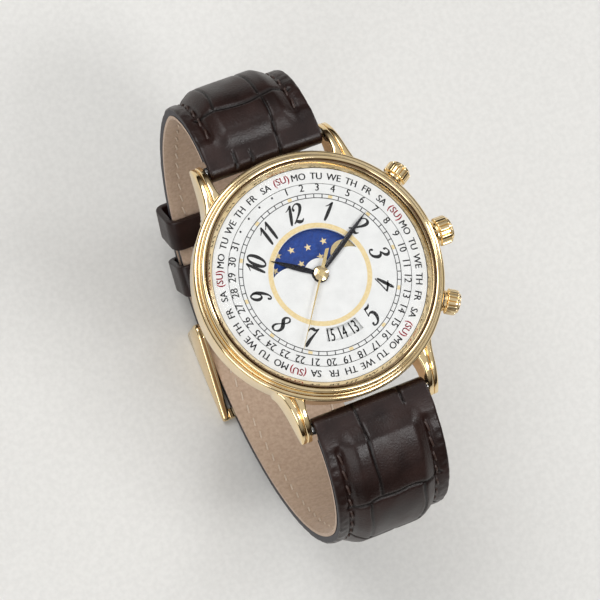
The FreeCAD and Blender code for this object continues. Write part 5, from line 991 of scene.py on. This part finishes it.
def strap_part(band, way, spec, seed, rows, columns):
    """The outer leather as a closed skin: the pressed top, two painted sides and the cemented underside."""
    s = np.linspace(0, band.length, rows)
    point, normal = band.at(s, way)
    half = strap_width_at(point[:, 1]) * taper_of(s, band.length, spec["round_end"])
    share = np.sin(np.linspace(-1, 1, columns) * np.pi / 2 * 0.999)
    share = 0.35 * share + 0.65 * np.linspace(-1, 1, columns)
    t = half[:, None] * share[None]
    height, grain = leather_height((s - FOLD)[:, None] + 0 * t, t, half[:, None], spec, seed)
    depth = spec["depth"](s)[:, None]
    under = -depth * np.ones((1, UNDER_COLUMNS))
    under_t = half[:, None] * 0.985 * np.linspace(1, -1, UNDER_COLUMNS)[None]
    t = np.hstack([t, under_t])
    height = np.hstack([height, under])
    grain = np.hstack([grain, np.zeros_like(under)])
    points = np.stack([
        t, point[:, :1] + normal[:, :1] * height, point[:, 1:] + normal[:, 1:] * height], -1)
    total = columns + UNDER_COLUMNS
    faces = grid_faces(rows, total, False, True)
    looks = np.broadcast_to((np.arange(total) >= columns - 1).astype(int)[None],
                            (rows - 1, total)).reshape(-1)
    ends = np.array([range(total), range((rows - 1) * total, rows * total)])
    return points, faces, looks, ends, grain


def stitch_parts(band, way, spec, seed, first, last, lift, thread=0.2, pitch=2.5, length=1.8, depth=None):
    """Sewn stitches: each a short thread tube that rises from the leather, runs a little aslant and dives.

    Its middle line is lifted by 0.6 (1 - u4) of the thread, u from -1 to 1 along the stitch.
    """
    starts = np.arange(first, last, pitch)
    u = np.linspace(-1, 1, 9)
    around = np.linspace(0, 2 * np.pi, 8, endpoint=False)
    parts = []
    for side in (-1, 1):
        s = starts[:, None] + length * (u[None] + 1) / 2
        point, normal = band.at(s.reshape(-1) + FOLD, way)
        point, normal = point.reshape(s.shape + (2,)), normal.reshape(s.shape + (2,))
        half = strap_width_at(point[..., 1]) * taper_of(s + FOLD, band.length, spec["round_end"])
        t = side * (half - STITCH_MARGIN) + 0.14 * u[None]
        if depth is None:
            base = leather_height(s, t, half, spec, seed)[0]
        else:
            base = -depth + 0 * t
        rise = base + lift * (0.6 - 1.5 * u[None] ** 4)
        ring_t = t[..., None] + thread * np.cos(around)
        ring_up = rise[..., None] + thread * np.sin(around) * (1 if lift > 0 else -1)
        y = point[..., 0, None] + normal[..., 0, None] * ring_up
        z = point[..., 1, None] + normal[..., 1, None] * ring_up
        tubes = np.stack([ring_t, y, z], -1)
        one = grid_faces(len(u), len(around), False, True)
        shift = np.arange(len(starts))[:, None, None] * len(u) * len(around)
        parts.append((tubes, (one[None] + shift).reshape(-1, 4)))
    return parts


def declared_strap(name, band, way, spec, seed, rows, columns, replaced):
    points, faces, looks, ends, grain = strap_part(band, way, spec, seed, rows, columns)
    every = faces.tolist() + ends.tolist()
    numbers = np.r_[looks, [1, 1]]
    mesh = bpy.data.meshes.new(name)
    mesh.from_pydata((points.reshape(-1, 3) * MM).tolist(), [], every)
    mesh.polygons.foreach_set("material_index", numbers.astype(np.int32))
    mesh.polygons.foreach_set("use_smooth", np.ones(len(mesh.polygons), bool))
    # The groove depth is kept on the mesh as the mask of the calf's painted groove shade.
    painted_groove_shade_map = mesh.attributes.new("groove", "FLOAT", "POINT")
    painted_groove_shade_map.data.foreach_set("value", grain.reshape(-1).astype(np.float32))
    work = bmesh.new()
    work.from_mesh(mesh)
    bmesh.ops.recalc_face_normals(work, faces=work.faces)
    work.to_mesh(mesh)
    work.free()
    mesh.set_sharp_from_angle(angle=math.radians(50))
    mesh.materials.append(calf)
    mesh.materials.append(edge_paint_and_painted_reflection)
    made = bpy.data.objects.new(name, mesh)
    bpy.context.scene.collection.objects.link(made)
    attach(made, "watch")
    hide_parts(replaced)
    return made


def full_depth(s):
    """Thickness of the outer leather under its datum: thin round the bar, full beyond it."""
    return 0.72 + (LEATHER - 0.03 - 0.72) * smooth_step((s - FOLD - 0.6) / 1.5)


def short_depth(s):
    """As full_depth, and thin again where the short half folds round the buckle bar."""
    return full_depth(s) - (LEATHER - 0.03 - 0.72) * smooth_step((s - twelve_band.knots[4] + 1.5) / 1.5)


hole_places = [math.radians(angle) * TAIL_BEND + six_band.knots[4] - FOLD for angle in (18.0, 29.0, 40.0)]
hole_places += [six_band.knots[4] - FOLD - math.radians(angle) * SIX_BEND for angle in (22.0, 33.0, 44.0)]
TWELVE = {"across": TWELVE_ACROSS, "long": TWELVE_LONG, "pad_end": 30.0, "holes": (), "round_end": False,
          "depth": short_depth}
SIX = {"across": SIX_ACROSS, "long": SIX_LONG, "pad_end": 32.0, "holes": tuple((s, 0.0) for s in hole_places),
       "round_end": True, "depth": full_depth}
declared_strap("padded_strap_12", twelve_band, 1, TWELVE, 11, 480, 140, "strap_12_leather")
declared_strap("padded_strap_6", six_band, -1, SIX, 23, 620, 130, "strap_6_leather")
made_piece("stitches_12", stitch_parts(twelve_band, 1, TWELVE, 11, 4.6, 58.0, 0.2), [brown_thread], "watch")
made_piece("stitches_6", stitch_parts(six_band, -1, SIX, 23, 4.8, 101.0, 0.2), [brown_thread], "watch")

# Strap lining. Tan nubuck, split and sanded, cemented inside each half and caught by the same seam, whose
# thread shows as pale dashes; its edges take the strap's paint.
nubuck = grained(finish_of("sanded tan nubuck", "BBA18B", 0.85, 0.0, Sheen_Weight=0.15, Sheen_Roughness=0.5),
                 0.5, 0.012, ("B39983", "C3AA94"), (0.78, 0.92), detail=8.0)
pale_thread = grained(finish_of("tan bobbin thread", "D2C0AC", 0.6), 0.08, 0.01, ("C6B29C", "DECEBC"))


def lining_part(band, way, spec, start, stop, rows):
    """A thin strip under the leather: a section (t, depth) with eased corners, carried along the band."""
    s = np.linspace(start, stop, rows)
    point, normal = band.at(s, way)
    half = strap_width_at(point[:, 1]) * taper_of(s, band.length, spec["round_end"]) * 0.995
    flat = np.linspace(-1, 1, 40)
    across = np.r_[-1, flat, 1]
    total = len(across)
    down = np.r_[LEATHER, LEATHER + LINING - 0.22 * (np.abs(flat) > 0.999), LEATHER]
    inner = np.abs(across) < 0.999
    t = half[:, None] * across[None]
    fuzz = 0.03 * ripple(5, s[:, None] + 0 * t, t, 2.2) * inner[None]
    pulled = 0.12 * groove(half[:, None] - np.abs(t) - STITCH_MARGIN, 0.35) * inner[None]
    height = -(down[None] + fuzz - pulled)
    points = np.stack([t, point[:, :1] + normal[:, :1] * height, point[:, 1:] + normal[:, 1:] * height], -1)
    faces = grid_faces(rows, total, False, True)
    column = np.broadcast_to(np.arange(total)[None], (rows - 1, total)).reshape(-1)
    looks = (column == total - 1).astype(int)
    lids = np.array([range(total), range((rows - 1) * total, rows * total)]).tolist()
    return points, faces.tolist() + lids, np.r_[looks, [1, 1]]


made_piece("lining_12",
           [lining_part(twelve_band, 1, TWELVE, FOLD + 1.75, twelve_band.knots[4] - 1.75, 260)],
           [nubuck, edge_paint_and_painted_reflection], "watch", ["strap_12_lining"])
made_piece("lining_6", [lining_part(six_band, -1, SIX, FOLD + 1.75, six_band.length, 380)],
           [nubuck, edge_paint_and_painted_reflection], "watch", ["strap_6_lining"])
lining_stitches = stitch_parts(twelve_band, 1, TWELVE, 11, 4.9, 58.0, -0.1, 0.13, 2.5, 1.5,
                               LEATHER + LINING - 0.08)
lining_stitches += stitch_parts(six_band, -1, SIX, 23, 5.1, 100.0, -0.1, 0.13, 2.5, 1.5,
                                LEATHER + LINING - 0.08)
made_piece("lining_stitches", lining_stitches, [pale_thread], "watch")

# Keepers. Two loops of the same calf, folded and sewn shut; the fixed one is held in the short half's seam
# and the free one slides over the tail.
KEEPER_CENTRE = (-2.0, -6.9)


def keeper_part(bearing):
    """A leather loop: an eased strip section (along, out) carried round a rounded rectangle."""
    inner_half, low, high = 8.44, -37.3, -32.1
    path = eased([(-inner_half - 0.5, low - 0.5), (inner_half + 0.5, low - 0.5),
                  (inner_half + 0.5, high + 0.5), (-inner_half - 0.5, high + 0.5)], 1.3, 9)
    path = np.vstack([path, path[:1]])
    path = along(path, 161)[:-1]
    ahead = np.roll(path, -1, 0) - np.roll(path, 1, 0)
    ahead /= np.linalg.norm(ahead, axis=1, keepdims=True)
    out = np.stack([ahead[:, 1], -ahead[:, 0]], -1)
    section = eased([(-2.5, -0.5), (2.5, -0.5), (2.5, 0.5), (-2.5, 0.5)], 0.33, 6)
    crown = 0.06 * np.cos(section[:, 0] / 2.5 * np.pi / 2) * (section[:, 1] > 0)
    reach = section[:, 1] + crown - 0.06
    x = path[:, :1] + out[:, :1] * reach[None]
    down = path[:, 1:] + out[:, 1:] * reach[None]
    y = section[:, 0][None] + 0 * x
    a = math.radians(bearing)
    points = np.stack([x, KEEPER_CENTRE[0] + y * math.cos(a) - down * math.sin(a),
                       KEEPER_CENTRE[1] + y * math.sin(a) + down * math.cos(a)], -1)
    return skinned(points, True, True)


made_piece("sewn_free_keeper", [keeper_part(40.0)], [calf], "free_keeper", ["free_keeper"])
made_piece("sewn_fixed_keeper", [keeper_part(26.0)], [calf], "watch", ["fixed_keeper"])

# Spring bars and buckle bar. Turned steel tubes with sprung tips.
carried(["spring_bar_12", "spring_bar_6", "buckle_bar"], turned_steel)

# Buckle. Stamped brass, polished and gold-plated: two rails with ears for the bar, a front bar notched for
# the tongue, and a tongue bent round the bar.
BAR_Y, BAR_Z = 4.5, -39.2535
FOOT_Z = -44.95
RAIL_INNER_X, RAIL_OUTER_X = 8.44, 9.7


def slab_part(outline, low_x, high_x, ease=0.22, radius=0.35):
    """A plate with eased edges: its outline (y, z) repeated across X, drawn in by ease at both faces."""
    ring = eased(outline, radius, 6)
    ahead = np.roll(ring, -1, 0) - np.roll(ring, 1, 0)
    ahead /= np.maximum(np.linalg.norm(ahead, axis=1, keepdims=True), 1e-9)
    inward = np.stack([-ahead[:, 1], ahead[:, 0]], -1)
    area = np.sum(ring[:, 0] * np.roll(ring[:, 1], -1) - np.roll(ring[:, 0], -1) * ring[:, 1])
    inward *= np.sign(area)
    rings = [(low_x + ease * (1 - math.cos(a)), ease * (1 - math.sin(a)))
             for a in np.linspace(0, np.pi / 2, 5)]
    rings += [(high_x - ease * (1 - math.cos(a)), ease * (1 - math.sin(a)))
              for a in np.linspace(np.pi / 2, 0, 5)]
    layers = [np.column_stack([np.full(len(ring), x), ring + inward * inset]) for x, inset in rings]
    count = len(ring)
    lids = [list(range(count)), list(range((len(rings) - 1) * count, len(rings) * count))]
    return np.stack(layers), grid_faces(len(rings), count, False, True).tolist() + lids


ear = arc(BAR_Y, BAR_Z, 1.25, -10, 95, 12)
rail = np.vstack([
    [(-9.0, FOOT_Z), (5.25, FOOT_Z), (5.72, -44.45)], ear,
    [(3.5, -38.15), (-7.8, -43.25), (-9.4, -43.75), (-9.4, -44.55)]])
buckle_parts = [slab_part(rail, RAIL_INNER_X, RAIL_OUTER_X, 0.4, 0.9),
                slab_part(rail, -RAIL_OUTER_X, -RAIL_INNER_X, 0.4, 0.9)]
front = [(-9.0, FOOT_Z), (-8.0, FOOT_Z), (-7.7, -44.65), (-7.7, -43.6), (-9.3, -43.4), (-9.4, -44.55)]
notch_top = [(-9.35, -43.98), (-7.72, -43.98), (-7.72, -43.58), (-9.25, -43.4)]
buckle_parts += [slab_part(front, 0.86, 8.6, 0.12, 0.25), slab_part(front, -8.6, -0.86, 0.12, 0.25),
                 slab_part(notch_top, -0.9, 0.9, 0.02, 0.1)]
made_piece("polished_buckle", buckle_parts, [polished_gold], "watch", ["buckle_frame"])

tongue = [(-9.5, -44.6), (-9.1, -44.9), (1.9, -44.9), (2.8, -44.2), (3.72, -40.2), (3.5, -39.5),
          (2.95, -40.1), (1.9, -43.65), (1.4, -44.07), (-9.5, -44.07)]
eye_ring = eased([(0.86, -0.7), (1.28, -0.7), (1.28, 0.7), (0.86, 0.7)], 0.1, 4)
eye_turned = turned(eye_ring, 48)
eye_points = np.stack([eye_turned[..., 2], BAR_Y + eye_turned[..., 0], BAR_Z + eye_turned[..., 1]], -1)
tongue_parts = [slab_part(tongue, -0.7, 0.7, 0.18, 0.3),
                skinned(eye_points, True, True)]
made_piece("polished_tongue", tongue_parts, [polished_gold], "buckle_tongue",
           ["buckle_tongue"])
